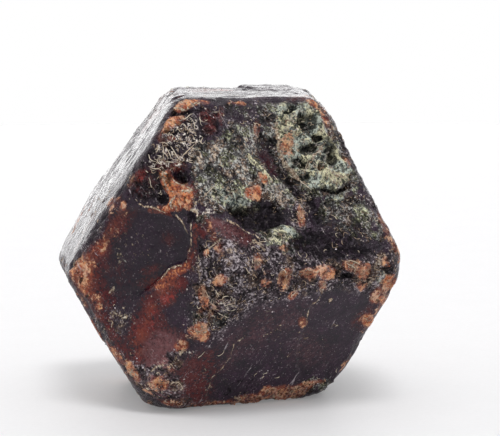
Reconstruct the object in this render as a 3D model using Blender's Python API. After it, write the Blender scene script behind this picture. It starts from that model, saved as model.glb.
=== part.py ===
"""Garnet crystal: one rhombic dodecahedron, worn at its edges, standing on one of its faces.

Units are metres, +Z is up, and the crystal's threefold axis lies along Y, so that three faces meet in a
point at the front (-Y) and three at the back (+Y), with a belt of six faces between them. The origin is on
the ground, below the middle of the crystal.

As on a grown crystal, each face lies at its own distance from the centre, in very nearly the direction
that the mineral's symmetry gives it. A block is cut by every face in turn, then by the small facets where
corners are worn away, and last by narrow facets that round off every edge.
"""

import math
from collections import namedtuple

import bmesh
import bpy
from mathutils import Vector

NAME = "garnet_crystal"

# Driving dimensions
FACE_DISTANCE = 0.020  # from the centre to a face of the ideal crystal, half its height
WEAR_WIDTHS = (0.0014, 0.0006)  # of the narrow facets cut along the edges, the second beside the first
MERGE = 1e-7  # corners this close to a cut lie on it
SHARP_ANGLE = math.radians(14)  # edges flatter than this lie inside a curved face and stay as they are

# A face's lean from the belt towards the front, in degrees. A belt face faces straight outwards. A point face
# faces so far to the front that it meets its neighbours at the mineral's own angle of 60 degrees.
BELT = 0.0
POINT = math.degrees(math.asin(math.sqrt(2 / 3)))

# around: direction about the Y axis, in degrees from +X towards +Z. lean: towards the front, in degrees.
# distance: from the centre, as a share of FACE_DISTANCE.
Face = namedtuple("Face", "name around lean distance")

BELT_FACES = (
    Face("top", 87.9, BELT + 0.3, 1.069),
    Face("upper_left", 149.5, BELT, 0.962),
    Face("lower_left", 210.3, BELT + 2.2, 1.035),
    Face("bottom", 270, BELT, 0.954),
    Face("lower_right", 332.7, BELT + 1.7, 1.010),
    Face("upper_right", 26.3, BELT + 1.1, 0.995),
)
FRONT_FACES = (
    Face("front_left", 177.3, POINT + 0.8, 1.045),
    Face("front_upper", 58.1, POINT + 0.3, 0.960),
    Face("front_lower", 300.1, POINT - 0.3, 0.982),
)
BACK_FACES = (
    Face("back_right", 0, -POINT, 1.000),
    Face("back_lower", 240, -POINT, 1.046),
    Face("back_upper", 118.8, -POINT, 0.943),
)
# Gently curved faces are made of a few facets that differ by a few degrees, as the growth hills on the
# real faces do.
GROWTH_FACETS = (
    Face("upper_left_crest", 145, BELT, 0.945),
    Face("upper_left_foot", 153.4, BELT, 0.967),
    Face("upper_left_rim", 150.5, BELT + 7, 0.998),
    Face("lower_right_foot", 326.1, BELT + 2.5, 1.046),
    Face("back_right_hill", 8, -POINT - 3, 0.999),
    Face("back_lower_hill", 246, -POINT + 3, 1.044),
    Face("back_upper_hill", 112, -POINT + 4, 0.944),
)
WORN_CORNERS = (
    Face("worn_front_foot", 237.7, 32, 1.290),
    Face("worn_right_corner", 2.6, 17, 1.206),
    Face("worn_top_right", 46.4, 3, 1.136),
    Face("worn_right_foot", 311.8, 7.5, 1.112),
    Face("worn_point", 190, 88, 1.190),
    Face("worn_back_point", 60, -86, 1.180),
    Face("worn_back_top", 62, -28, 1.290),
    Face("worn_back_left", 186, -30, 1.345),
    Face("worn_back_foot", 300, -24, 1.290),
)
ALL_FACES = BELT_FACES + FRONT_FACES + BACK_FACES + GROWTH_FACETS + WORN_CORNERS

GARNET_COLOUR = (0.055, 0.022, 0.024, 1.0)
GARNET_ROUGHNESS = 0.38


def clear_scene():
    """Removes every object, so that the script can be run again."""
    for obj in list(bpy.data.objects):
        bpy.data.objects.remove(obj)


def outward(face):
    """The unit normal of a face."""
    around = math.radians(face.around)
    lean = math.radians(face.lean)
    return Vector((math.cos(lean) * math.cos(around), -math.sin(lean), math.cos(lean) * math.sin(around)))


def cut_plane(bm, point, normal):
    """Cuts away what lies beyond the plane through a point, and closes the cut."""
    cut = bmesh.ops.bisect_plane(
        bm,
        geom=bm.verts[:] + bm.edges[:] + bm.faces[:],
        dist=MERGE,
        plane_co=point,
        plane_no=normal,
        clear_outer=True,
    )
    rim = [item for item in cut["geom_cut"] if isinstance(item, bmesh.types.BMEdge)]
    if rim:
        bmesh.ops.edgeloop_fill(bm, edges=rim)


def cut_face(bm, face):
    """Cuts the crystal to one of its faces."""
    normal = outward(face)
    cut_plane(bm, normal * face.distance * FACE_DISTANCE, normal)


def wear_edges(bm, width):
    """Cuts a narrow facet along every sharp edge, at equal angles to the faces beside it.

    The crystal is convex, so each facet is one plane. A facet of a given width lies below its edge by half
    that width times the tangent of half the angle between the faces' normals.
    """
    facets = []
    for edge in bm.edges:
        left, right = (face.normal for face in edge.link_faces)
        turn = left.angle(right)
        if turn > SHARP_ANGLE:
            normal = (left + right).normalized()
            depth = width / 2 * math.tan(turn / 2)
            facets.append((edge.verts[0].co - normal * depth, normal))
    for point, normal in facets:
        cut_plane(bm, point, normal)
    bm.normal_update()


def stand_on_origin(bm):
    """Moves the crystal so that the origin is on the ground below the middle of its box."""
    lowest = Vector([min(v.co[axis] for v in bm.verts) for axis in range(3)])
    highest = Vector([max(v.co[axis] for v in bm.verts) for axis in range(3)])
    middle = (lowest + highest) / 2
    bmesh.ops.translate(bm, verts=bm.verts, vec=(-middle.x, -middle.y, -lowest.z))


def garnet_material():
    """Dark red, glassy, weathered almost to black."""
    material = bpy.data.materials.new("garnet")
    material.use_nodes = True
    shader = material.node_tree.nodes["Principled BSDF"]
    shader.inputs["Base Color"].default_value = GARNET_COLOUR
    shader.inputs["Roughness"].default_value = GARNET_ROUGHNESS
    shader.inputs["Metallic"].default_value = 0.0
    return material


def build_crystal(collection):
    """The whole crystal, as one closed solid with rounded edges."""
    bm = bmesh.new()
    bmesh.ops.create_cube(bm, size=4 * FACE_DISTANCE)
    for face in ALL_FACES:
        cut_face(bm, face)
    bmesh.ops.recalc_face_normals(bm, faces=bm.faces)
    for width in WEAR_WIDTHS:
        wear_edges(bm, width)
    stand_on_origin(bm)

    mesh = bpy.data.meshes.new(NAME)
    bm.to_mesh(mesh)
    bm.free()
    crystal = bpy.data.objects.new(NAME, mesh)
    collection.objects.link(crystal)
    crystal.data.materials.append(garnet_material())
    return crystal


def main():
    clear_scene()
    collection = bpy.data.collections.new(NAME)
    bpy.context.scene.collection.children.link(collection)
    build_crystal(collection)


main()
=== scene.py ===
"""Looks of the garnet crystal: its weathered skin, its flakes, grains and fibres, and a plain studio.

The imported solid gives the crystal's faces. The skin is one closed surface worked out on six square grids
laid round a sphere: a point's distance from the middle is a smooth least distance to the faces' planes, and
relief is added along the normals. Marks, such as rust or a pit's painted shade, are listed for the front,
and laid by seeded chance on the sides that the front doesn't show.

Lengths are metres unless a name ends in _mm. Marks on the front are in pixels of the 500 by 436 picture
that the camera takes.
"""

import logging
import math
from dataclasses import dataclass
from enum import Enum
from functools import cache, partial, reduce
from itertools import combinations, product

import bpy
import numpy as np
from mathutils import Matrix, Vector


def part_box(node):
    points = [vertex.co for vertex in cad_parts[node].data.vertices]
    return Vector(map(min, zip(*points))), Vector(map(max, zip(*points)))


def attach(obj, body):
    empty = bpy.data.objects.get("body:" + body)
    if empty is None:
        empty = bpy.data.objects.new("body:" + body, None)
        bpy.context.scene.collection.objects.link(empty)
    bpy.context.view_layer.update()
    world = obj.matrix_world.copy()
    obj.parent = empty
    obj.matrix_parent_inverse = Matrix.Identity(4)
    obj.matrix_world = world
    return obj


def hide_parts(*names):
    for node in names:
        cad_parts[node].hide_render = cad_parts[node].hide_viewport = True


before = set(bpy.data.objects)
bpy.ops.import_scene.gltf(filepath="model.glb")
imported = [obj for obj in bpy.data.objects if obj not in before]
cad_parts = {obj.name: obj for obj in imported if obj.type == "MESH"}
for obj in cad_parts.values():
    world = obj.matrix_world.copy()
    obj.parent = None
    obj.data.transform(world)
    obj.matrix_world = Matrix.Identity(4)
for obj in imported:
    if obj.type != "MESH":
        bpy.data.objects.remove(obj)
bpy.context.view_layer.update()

NODE = "garnet_crystal"
BODY = "root"
MM = 0.001

Array = np.ndarray
Colour = tuple[float, float, float]
Material = bpy.types.Material
Node = bpy.types.Node
Socket = bpy.types.NodeSocket
Tree = bpy.types.NodeTree

log = logging.getLogger("garnet")


# --- Numbers spread over space ----------------------------------------------------------------------------


def rise(low: float, high: float, value: Array) -> Array:
    """A smooth step from 0 at low to 1 at high: t * t * (3 - 2 t), with t the way between them."""
    t = np.clip((value - low) / (high - low), 0.0, 1.0)
    return t * t * (3.0 - 2.0 * t)


def unit(vectors: Array) -> Array:
    """Vectors, (..., 3), made one long."""
    return vectors / np.linalg.norm(vectors, axis=-1, keepdims=True)


def cell_chance(cells: Array, seed: int) -> Array:
    """One even random number for each cell of a cubic lattice.

    Args:
        cells: whole-numbered corners, (..., 3).
        seed: picks another set of numbers.

    Returns:
        Numbers from 0 to 1: the coordinates times large primes, summed, multiplied and folded over.
    """
    x, y, z = np.moveaxis(cells.astype(np.int64), -1, 0)
    mixed = x * 374761393 + y * 668265263 + z * 974634777 + seed * 362437
    mixed = (mixed ^ (mixed >> 15)) & 0x7FFFFFFF
    mixed = ((mixed * 1274126177) ^ (mixed >> 11)) & 0x7FFFFFFF
    mixed = ((mixed ^ (mixed >> 13)) * 668265263) & 0x7FFFFFFF
    return (mixed ^ (mixed >> 16)) / 0x7FFFFFFF


def drift(points_mm: Array, grain_mm: float, seed: int) -> Array:
    """Smooth noise: chance numbers at a lattice's corners, blended by smooth steps between them.

    Args:
        points_mm: places, (n, 3).
        grain_mm: the lattice's spacing.
        seed: picks another pattern.

    Returns:
        Numbers from -1 to 1, (n,).
    """
    place = points_mm / grain_mm
    cell = np.floor(place)
    part = rise(0.0, 1.0, place - cell)
    total = np.zeros(len(points_mm))
    for corner in product((0, 1), repeat=3):
        share = np.prod(np.where(corner, part, 1.0 - part), axis=1)
        total += share * cell_chance(cell + corner, seed)
    return 2.0 * total - 1.0


def layers(points_mm: Array, grain_mm: float, seed: int, count: int = 4) -> Array:
    """Drift at several grains, each half as coarse and half as strong as the one before.

    Args:
        points_mm: places, (n, 3).
        grain_mm: the coarsest grain.
        seed: picks another pattern.
        count: how many grains.

    Returns:
        Numbers from about -1 to 1, (n,).
    """
    shares = 0.5 ** np.arange(count)
    total = sum(share * drift(points_mm, grain_mm * share, seed + i) for i, share in enumerate(shares))
    return total / shares.sum() * 1.6


def cells(points_mm: Array, grain_mm: float, seed: int) -> tuple[Array, Array]:
    """Irregular cells round one chance point in each cube of a lattice.

    Args:
        points_mm: places, (n, 3).
        grain_mm: the cells' size.
        seed: picks another pattern.

    Returns:
        How much further the second nearest point is than the nearest, in cell sizes, and the nearest one's
        own chance number, each (n,).
    """
    place = points_mm / grain_mm
    cell = np.floor(place)
    nearest, second = np.full((2, len(place)), 9.0)
    chance = np.zeros(len(place))
    for offset in product((-1, 0, 1), repeat=3):
        home = cell + offset
        point = home + np.stack([cell_chance(home, seed + axis) for axis in range(3)], axis=1)
        distance = np.linalg.norm(place - point, axis=1)
        closer = distance < nearest
        second = np.where(closer, nearest, np.minimum(second, distance))
        chance = np.where(closer, cell_chance(home, seed + 7), chance)
        nearest = np.where(closer, distance, nearest)
    return second - nearest, chance


# --- Flat shapes that marks are cut from ------------------------------------------------------------------


@dataclass(frozen=True)
class Oval:
    """A round or long spot: its middle, half width and half height, strength, and turn in degrees."""

    x: float
    y: float
    wide: float
    high: float
    strength: float = 1.0
    turn: float = 0.0
    soft: float = 0.35

    def cover(self, flat: Array) -> Array:
        """A smooth step over the turned distance from the middle, scaled by the half width and height.

        Args:
            flat: points, (n, 2).

        Returns:
            How far each is covered, (n,).
        """
        angle = math.radians(self.turn)
        dx, dy = flat[:, 0] - self.x, flat[:, 1] - self.y
        along = (dx * math.cos(angle) + dy * math.sin(angle)) / self.wide
        across = (dy * math.cos(angle) - dx * math.sin(angle)) / self.high
        return self.strength * rise(1.0 + self.soft, 1.0 - self.soft, np.hypot(along, across))


def edge_distance(flat: Array, corners: Array) -> Array:
    """The least distance from points to any straight run of a broken line.

    Args:
        flat: points, (n, 2).
        corners: the line's corners, (k, 2).

    Returns:
        Distances, (n,).
    """
    least = np.full(len(flat), np.inf)
    for start, end in zip(corners[:-1], corners[1:]):
        run = end - start
        share = np.clip((flat - start) @ run / (run @ run), 0.0, 1.0)
        least = np.minimum(least, np.linalg.norm(flat - start - share[:, None] * run, axis=1))
    return least


@dataclass(frozen=True)
class Stroke:
    """A line of one width through some points, x and y in turn, fading out at its edges."""

    points: tuple[float, ...]
    width: float
    strength: float = 1.0

    def cover(self, flat: Array) -> Array:
        """How far each flat point, (n, 2), is covered: a smooth step over its distance to the line."""
        distance = edge_distance(flat, np.reshape(self.points, (-1, 2)))
        return self.strength * rise(self.width * 1.4, self.width * 0.5, distance)


@dataclass(frozen=True)
class Field:
    """The inside of a closed outline, its corners' x and y in turn, fading over a soft border."""

    points: tuple[float, ...]
    soft: float = 3.0
    strength: float = 1.0

    def cover(self, flat: Array) -> Array:
        """A smooth step over the depth inside the outline.

        A point is inside where a level ray from it crosses the outline an odd number of times.

        Args:
            flat: points, (n, 2).

        Returns:
            How far each is covered, (n,).
        """
        corners = np.reshape(self.points + self.points[:2], (-1, 2)).astype(float)
        inside = np.zeros(len(flat), bool)
        for (x0, y0), (x1, y1) in zip(corners[:-1], corners[1:]):
            spans = (y0 > flat[:, 1]) != (y1 > flat[:, 1])
            crossing = x0 + (flat[:, 1] - y0) * (x1 - x0) / (y1 - y0 if y1 != y0 else 1.0)
            inside ^= spans & (flat[:, 0] < crossing)
        depth = edge_distance(flat, corners) * np.where(inside, 1.0, -1.0)
        return self.strength * rise(-self.soft, self.soft, depth)


Shape = Oval | Stroke | Field


class Finish(Enum):
    """What the skin carries at a place. Each value names the mesh attribute that holds its cover."""

    RUST = "rust"  # orange-brown iron oxide
    RED = "red"  # clear dark red garnet
    GLOW = "glow"  # thin garnet with light in it: painted light, bright orange-red colour over the garnet's own red
    CHLORITE = "chlorite"  # grey-green fine-grained skin
    CRUST = "crust"  # pale green porous crust
    MICA = "mica"  # rough skin full of bright flakes
    LACE = "lace"  # a web of pale curls over dark hollows
    PALE = "pale"  # tan and white lines
    HOLLOW_SHADE = "hollow"  # painted shade: black colour in pits and undercuts
    PINK = "pink"  # pinkish grey bloom
    SMOOTH = "smooth"  # clean satin garnet


# --- Marks on the three front faces, in pixels ------------------------------------------------------------


def spots(soft: float, *rows: tuple[float, ...]) -> tuple[Oval, ...]:
    """Ovals of one softness from rows of middle, half width, half height, strength and turn."""
    return tuple(Oval(*row, *(1.0, 0.0)[len(row) - 4:], soft) for row in rows)


def lines(*rows: tuple[float, ...]) -> tuple[Stroke, ...]:
    """Strokes from rows of width, strength, and then the points."""
    return tuple(Stroke(row[2:], *row[:2]) for row in rows)


def areas(*rows: tuple[float, ...]) -> tuple[Field, ...]:
    """Fields from rows of softness, strength, and then the corners."""
    return tuple(Field(row[2:], *row[:2]) for row in rows)


FLAME = Field((162, 171, 166, 169, 170, 171, 172, 178, 178, 183, 186, 188, 194, 192, 192, 199, 187, 207,
    176, 210, 166, 211, 158, 210, 163, 205, 168, 200, 167, 194, 161, 188, 161, 179), 1.3)
DISH_RIM = (190, 222, 191, 235, 191, 246, 188, 257, 184, 264, 178, 265, 170, 268, 164, 275, 157, 283)
DISH = Field((112, 216, 128, 208, 145, 208, 160, 214, 173, 216, 181, 225, 187, 235, 189, 247, 184, 259,
    177, 263, 168, 267, 158, 279, 138, 296, 116, 302, 100, 290, 98, 262, 102, 236), 4.0)
DISH_DEEP = Field(DISH.points[6:26], 2.5)
LOBE = Field((157, 283, 165, 275, 171, 269, 182, 267, 187, 280, 184, 296, 176, 303, 164, 300), 3.0)
CRUST = Field((277, 106, 288, 102, 306, 104, 318, 112, 323, 128, 334, 140, 343, 156, 352, 172, 351, 182,
    340, 187, 320, 188, 309, 189, 294, 176, 283, 163, 277, 148, 276, 122), 5.0)
CRUST_HOLES = spots(0.55, (307, 122, 8.5, 9, 1.2), (308, 147, 8, 5.5, 1.1), (318, 138, 6.5, 3, 1.1),
    (330, 147, 8, 9, 0.75), (321, 168, 3.6, 4), (332, 159, 6, 6, 0.8), (299, 164, 9, 5, 0.85, 20),
    (292, 106, 5, 4), (287, 112, 3, 2.5), (305, 178, 6, 4, 0.85, 20), (298, 138, 4, 4, 0.6),
    (344, 158, 3, 5, 0.6, -25), (325, 178, 4, 2.5, 0.6))
GROOVE = Stroke((262, 141, 268, 152, 278, 167, 291, 182, 306, 199, 320, 220), 6.0)
UNDERCUT = Field((232, 211, 246, 208, 262, 203, 279, 203, 288, 212, 289, 225, 274, 228, 258, 232,
    244, 226), 4.5, 0.85)
LUMPS = Field((256, 229, 270, 227, 285, 224, 300, 229, 303, 238, 288, 244, 270, 246, 260, 240), 2.5)
WORN_POINT = Field((198, 240, 228, 240, 244, 246, 266, 244, 292, 250, 318, 262, 350, 262, 378, 256,
    398, 250, 400, 278, 372, 290, 350, 292, 318, 294, 282, 301, 260, 308, 242, 322, 224, 338, 204, 340,
    188, 318, 196, 286), 14.0, 1.1)
FOOT = Field((112, 348, 132, 356, 150, 366, 170, 364, 184, 380, 196, 404, 160, 410, 132, 388), 5.0, 0.56)
BASE_CRUST = Field((222, 405, 231, 400, 240, 395, 250, 394, 262, 392, 270, 387, 285, 385, 307, 382,
    325, 380, 338, 373, 330, 386, 318, 393, 290, 399, 250, 402), 1.5)
WEDGE = Field((196, 213, 208, 214, 222, 220, 238, 227, 253, 239, 259, 248, 248, 249, 237, 240, 221, 233,
    208, 235, 199, 242, 195, 230), 2.5)
NETWORK = Field((146, 166, 154, 144, 166, 130, 182, 118, 194, 112, 200, 118, 200, 132, 204, 144, 196, 156,
    184, 166, 168, 170, 152, 171), 6.0, 0.74)
STEP_HIGH = (323, 284, 321, 292, 317, 301, 311, 308, 306, 322, 303, 328)
STEP_LOW = (243, 338, 235, 345, 232, 350, 228, 360, 222, 367, 216, 375, 212, 385, 208, 396)
SHADY = Field((262, 141, 270, 146, 281, 163, 292, 176, 308, 191, 321, 193, 328, 216, 318, 224, 308, 208,
    286, 184), 6.0, 0.6)

FRONT_MARKS: dict[Finish, tuple[Shape, ...]] = {
    Finish.RUST: (
        Field(FLAME.points, 1.3, 0.26), Field(BASE_CRUST.points[:18] + BASE_CRUST.points[24:], 2.0, 0.62),
        *areas((6.0, 0.54, 70, 268, 80, 255, 88, 256, 94, 262, 92, 275, 91, 286, 86, 296, 79, 289),
            (1.8, 1.0, 169, 109, 172, 104, 182, 103, 187, 97, 198, 96, 203, 101, 198, 106, 184, 110),
            (1.8, 1.0, 160, 129, 168, 115, 184, 113, 188, 118, 177, 124, 166, 132)),
        *spots(0.5, (190, 101, 16, 4, 0.7), (254, 194, 8.5, 7), (287, 145, 7, 13, 0.85, 5),
            (262, 178, 3, 7, 0.7, -35), (257, 127, 4, 7, 0.45), (236, 102, 8, 3, 0.55),
            (312, 102, 7, 4, 0.9, 25), (323, 118, 5, 10, 0.35, -25), (321, 168, 3.4, 3.6),
            (347, 163, 4, 6, 0.8, -25), (301, 215, 4, 9, 0.6, -12), (219, 281, 8, 4.5, 1, -14),
            (202, 301, 4.5, 13, 0.85, 8), (200, 333, 9, 7.5, 1, 10), (266, 283, 5, 4, 0.75),
            (286, 278, 6, 10, 0.6, 15), (294, 295, 5, 3, 0.6, -35), (309, 274, 8, 6, 0.9, -20),
            (328, 272, 9, 7, 0.95, 30), (322, 285, 4, 5, 0.6), (353, 265, 9, 5, 0.9, 5),
            (364, 272, 8, 7, 1, 20), (363, 286, 6, 4, 0.5), (387, 263, 4, 6, 0.6), (390, 284, 9, 6, 1, -50),
            (379, 297, 9, 7, 0.75, -50), (368, 321, 6, 5), (302, 322, 6, 5, 0.45), (259, 261, 4, 6, 0.5),
            (206, 254, 3, 4, 0.8), (118, 226, 16, 5, 0.2, -58), (100, 246, 12, 6, 0.3, -55),
            (122, 205, 3, 6, 0.9), (131, 371, 4.5, 10, 1, -38), (116, 354, 3, 8, 0.6, -38),
            (158, 384, 9, 6, 0.8), (147, 394, 5, 4, 0.7), (181, 347, 6, 5, 0.6, -20), (172, 138, 4, 3, 0.7),
            (164, 208, 6, 3, 0.7, 20), (186, 204, 6, 5, 0.6), (98, 300, 5, 9, 0.35, -28),
            (172, 403, 12, 3, 0.35), (196, 405, 5, 2.5, 0.6), (214, 404, 8, 2, 0.5),
            (285, 246, 6, 3, 0.45)),
    ),
    Finish.RED: (
        Field(WEDGE.points, 3.5, 0.46),
        *areas((13.0, 0.62, 96, 244, 118, 214, 136, 212, 122, 232, 108, 258, 102, 290, 110, 318, 128, 346,
            150, 372, 130, 370, 108, 338, 86, 296, 78, 276), (12.0, 0.74, 124, 356, 132, 322, 146, 298,
            158, 292, 162, 316, 170, 330, 184, 336, 182, 356, 160, 378, 142, 374), (13.0, 0.42, 164, 376,
            190, 354, 220, 346, 218, 388, 206, 410, 156, 410, 146, 396)),
        *spots(1.0, (142, 334, 12, 13, 1.15, 20), (148, 316, 9, 14, 1, 15), (150, 352, 14, 9, 0.9, -20),
            (209, 117, 6.5, 7, 0.9), (209, 130, 6, 5, 0.7), (222, 116, 3, 9, 0.6),
            (139, 176, 7, 6, 1.1, -30), (146, 182, 16, 13, 0.5, -30), (173, 119, 8, 6, 1.1, -30),
            (165, 166, 14, 6, 0.6), (118, 226, 15, 8, 0.95, -58), (98, 250, 12, 8, 0.95, -55),
            (104, 292, 8, 20, 0.6, -24), (191, 258, 6, 12, 0.5, -5), (169, 296, 9, 7, 1.25, -20),
            (178, 284, 9, 10, 0.8), (100, 317, 5, 6, 0.95), (147, 283, 12, 6, 0.75, -15),
            (150, 270, 12, 5, 0.6, -10), (168, 240, 10, 8, 0.35), (270, 160, 9, 20, 0.35, -32),
            (328, 122, 6, 18, 0.4, -28), (180, 404, 16, 6, 0.8), (184, 388, 12, 10, 0.5),
            (152, 384, 18, 14, 0.75, 10), (200, 372, 20, 26, 0.36, 30), (362, 318, 8, 14, 0.4, 40),
            (196, 190, 6, 8, 0.55), (118, 280, 16, 30, 0.28, -20)),
    ),
    # Painted light: bright orange-red colour where light shines through thin garnet, on the flame, the
    # lobe's rim and the left face, over the garnet's own red.
    Finish.GLOW: (
        Field(FLAME.points, 1.5, 0.8),
        *lines((3.6, 1.35, 165, 173, 166, 184, 172, 193, 181, 194, 189, 194),
            (3.4, 1.25, 169, 202, 176, 204, 183, 201),
            (5.0, 0.66, 159, 287, 165, 280, 172, 274, 180, 269, 186, 267),
            (2.6, 0.3, 194, 222, 195, 240, 193, 255, 188, 266),
            (6.0, 0.28, 122, 214, 110, 231, 101, 246, 92, 258),
            (3.0, 0.5, 108, 342, 118, 358, 130, 372, 142, 379), (3.0, 0.6, 150, 212, 158, 213, 166, 214)),
        *spots(1.2, (160, 350, 17, 15, 0.34), (168, 284, 11, 8, 0.62, -35), (147, 318, 5, 10, 0.38, 15),
            (142, 335, 7, 8, 0.52, 20), (135, 342, 7, 7, 0.42), (145, 350, 9, 5, 0.5, -20),
            (152, 307, 10, 5, 0.36, -30), (152, 378, 16, 8, 0.4), (112, 232, 16, 5, 0.4, -57),
            (147, 281, 6, 4, 0.42), (84, 272, 10, 18, 0.58, -24), (117, 238, 7, 8, 0.3),
            (90, 292, 5, 9, 0.5, -28), (99, 316, 4, 4, 0.5), (160, 385, 10, 6, 0.5), (178, 347, 7, 6, 0.5),
            (150, 396, 8, 4, 0.55, 10), (172, 402, 10, 4, 0.45), (175, 166, 8, 5, 0.5)),
    ),
    Finish.CHLORITE: (
        *areas((9.0, 0.76, 190, 146, 212, 138, 232, 122, 266, 120, 264, 140, 262, 160, 284, 184, 304, 204,
            292, 212, 262, 204, 232, 208, 214, 214, 192, 190, 190, 160), (8.0, 0.62, 322, 194, 362, 192,
            384, 222, 391, 242, 352, 242, 326, 232, 316, 212), (8.0, 0.7, 266, 98, 332, 98, 350, 150,
            366, 190, 340, 204, 306, 200, 284, 178, 268, 150)),
        *spots(0.7, (280, 236, 22, 9, 0.9), (315, 384, 20, 6, 0.7, -12), (268, 128, 10, 26, 0.55),
            (224, 196, 24, 15, 1.25, 10), (240, 203, 12, 8, 1.2, 30), (358, 212, 16, 12, 0.9, 20),
            (365, 232, 7, 6, 0.7), (165, 134, 8, 10, 0.3, 30), (200, 216, 12, 8, 0.6),
            (280, 190, 12, 14, 1.15, -30), (385, 279, 8, 7, 0.95, -40), (236, 144, 14, 12, 0.7),
            (246, 112, 30, 9, 0.45), (122, 318, 14, 9, 0.35, 20), (121, 258, 5, 8, 0.5),
            (265, 312, 12, 5, 0.35, -15), (197, 319, 7, 9, 0.8, -20), (220, 322, 10, 9, 0.6),
            (295, 246, 22, 7, 0.5)),
    ),
    Finish.CRUST: (
        CRUST, Field(LUMPS.points, 5.0, 0.62),
        *areas((2.0, 0.6, 320, 192, 346, 191, 346, 199, 324, 200)),
        *lines((2.6, 0.85, 250, 154, 257, 164, 264, 174, 270, 181)),
        *spots(0.6, (238, 204, 10, 7, 0.85, 30), (226, 196, 18, 9, 0.58, 10), (258, 206, 6, 4, 0.6)),
    ),
    Finish.MICA: (
        WORN_POINT, FOOT,
        *spots(0.6, (172, 148, 22, 16, 0.3, -30), (197, 122, 14, 18, 0.3, -20), (222, 302, 18, 12, 1.1),
            (208, 250, 12, 12, 0.9, 30), (118, 321, 14, 14, 0.5, -35), (150, 184, 14, 18, 0.35),
            (290, 190, 20, 20, 0.7, 40), (175, 360, 12, 10, 0.7, -30), (240, 115, 40, 12, 0.4),
            (350, 222, 30, 26, 0.4, 30), (130, 250, 30, 30, 0.12), (300, 212, 8, 18, 1.1, -8),
            (220, 346, 20, 12, 0.25, -30), (265, 375, 16, 6, 0.35)),
    ),
    Finish.LACE: (
        NETWORK,
        *spots(1.0, (276, 194, 8, 22, 0.6, -28), (165, 367, 17, 5, 0.6, -14), (152, 190, 14, 16, 0.28),
            (206, 210, 10, 8, 0.6), (216, 200, 10, 10, 0.5), (262, 236, 9, 8, 0.6),
            (338, 176, 14, 8, 0.55, 20), (176, 206, 10, 5, 0.5, 20), (228, 304, 14, 11, 0.65),
            (150, 384, 14, 14, 0.36, 20), (131, 372, 6, 12, 0.4, -38), (186, 352, 10, 8, 0.45, -30),
            (306, 205, 8, 14, 0.5, -20), (300, 128, 16, 22, 0.5), (318, 160, 16, 18, 0.6),
            (295, 166, 9, 16, 0.7, -25), (278, 236, 12, 6, 0.6), (272, 190, 7, 20, 0.7, -30),
            (255, 146, 8, 16, 0.4, -20), (380, 270, 8, 14, 0.4)),
    ),
    Finish.PALE: (
        *lines((1.1, 0.95, 141, 203, 146, 206, 153, 208, 161, 212),
            (1.5, 0.9, 174, 214, 178, 218, 181, 224, 184, 231),
            (0.8, 0.62, 190, 222, 191, 235, 191, 246, 188, 257, 184, 264),
            (1.0, 0.75, 180, 265, 170, 268, 164, 275, 157, 283),
            (1.0, 0.7, 195, 203, 205, 196, 212, 189, 216, 185), (1.4, 0.9, 190, 209, 196, 210, 198, 214),
            (1.0, 0.6, *STEP_HIGH[:8]), (0.9, 0.55, *STEP_HIGH[6:]), (1.2, 0.5, *STEP_LOW),
            (1.6, 0.9, 276, 122, 277, 140, 280, 154, 286, 166, 294, 176, 306, 186),
            (1.6, 0.8, 304, 168, 308, 160, 314, 153, 321, 146), (0.8, 0.6, 264, 337, 272, 331, 279, 326),
            (1.1, 0.85, 168, 108, 178, 107, 188, 109, 200, 104),
            (0.9, 0.8, 170, 384, 174, 381, 179, 382, 182, 390), (1.4, 0.8, 171, 366, 176, 358, 184, 351),
            (1.1, 0.7, 150, 372, 156, 368, 166, 366), (1.0, 0.7, 228, 222, 240, 227, 250, 234, 258, 238),
            (1.2, 0.8, 252, 244, 256, 241, 261, 245, 266, 248),
            (0.9, 0.85, 205, 250, 212, 246, 220, 240, 224, 239), (1.0, 0.8, 301, 276, 304, 271, 312, 269),
            # The strokes on this and the next two lines, and the first three spots below, lie on the flame:
            # pale streaks on its glassy crest and rim, partly pale colour and partly painted highlight.
            (1.1, 0.75, 172, 180, 180, 184, 192, 191), (1.2, 0.6, 164, 172, 166, 178, 165, 184, 168, 190),
            (0.9, 0.5, 170, 186, 173, 192, 172, 199, 168, 204), (0.9, 0.45, 176, 191, 181, 197, 180, 203),
            (1.2, 0.8, 170, 203, 176, 197), (0.9, 0.6, 182, 192, 194, 193)),
        *spots(0.8, (250, 214, 18, 9, 0.32), (165, 177, 2.5, 7, 0.6), (189, 194, 5, 2, 0.6, 10),
            (170, 206, 8, 2.5, 0.5, 15), (82, 270, 8, 16, 0.22, -20), (120, 258, 4, 7, 0.42),
            (112, 290, 5, 4, 0.38), (120, 317, 12, 8, 0.36), (197, 318, 6, 8, 0.42, -20),
            (200, 331, 8, 6, 0.45), (228, 190, 14, 12, 0.3), (335, 176, 16, 7, 0.42, 20),
            (288, 122, 8, 7, 0.5), (352, 264, 8, 4, 0.5), (275, 396, 4, 2, 0.7), (293, 388, 5, 3, 0.5),
            (240, 396, 8, 3, 0.4, -20), (150, 386, 12, 8, 0.34), (130, 372, 5, 8, 0.4, -38),
            (260, 262, 6, 5, 0.4), (331, 301, 2.2, 2.5, 0.9), (337, 327, 2.5, 2, 0.6),
            (163, 254, 2, 2, 0.5), (308, 338, 4, 2, 0.5), (367, 320, 4, 4, 0.4), (166, 173, 3, 6, 0.5),
            (184, 103, 14, 5, 0.32, -15), (98, 332, 4, 12, 0.34, -28), (385, 295, 8, 8, 0.3),
            (240, 320, 34, 20, 0.1, -30), (300, 350, 46, 26, 0.1, -20), (130, 245, 36, 30, 0.12),
            (215, 375, 26, 20, 0.12)),
    ),
    # Painted shade: black colour in the undercut, beside the groove, in the crust's holes and in other pits
    # and shaded places.
    Finish.HOLLOW_SHADE: (
        UNDERCUT, SHADY, Field(BASE_CRUST.points, 2.0, 0.45), *CRUST_HOLES,
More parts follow.
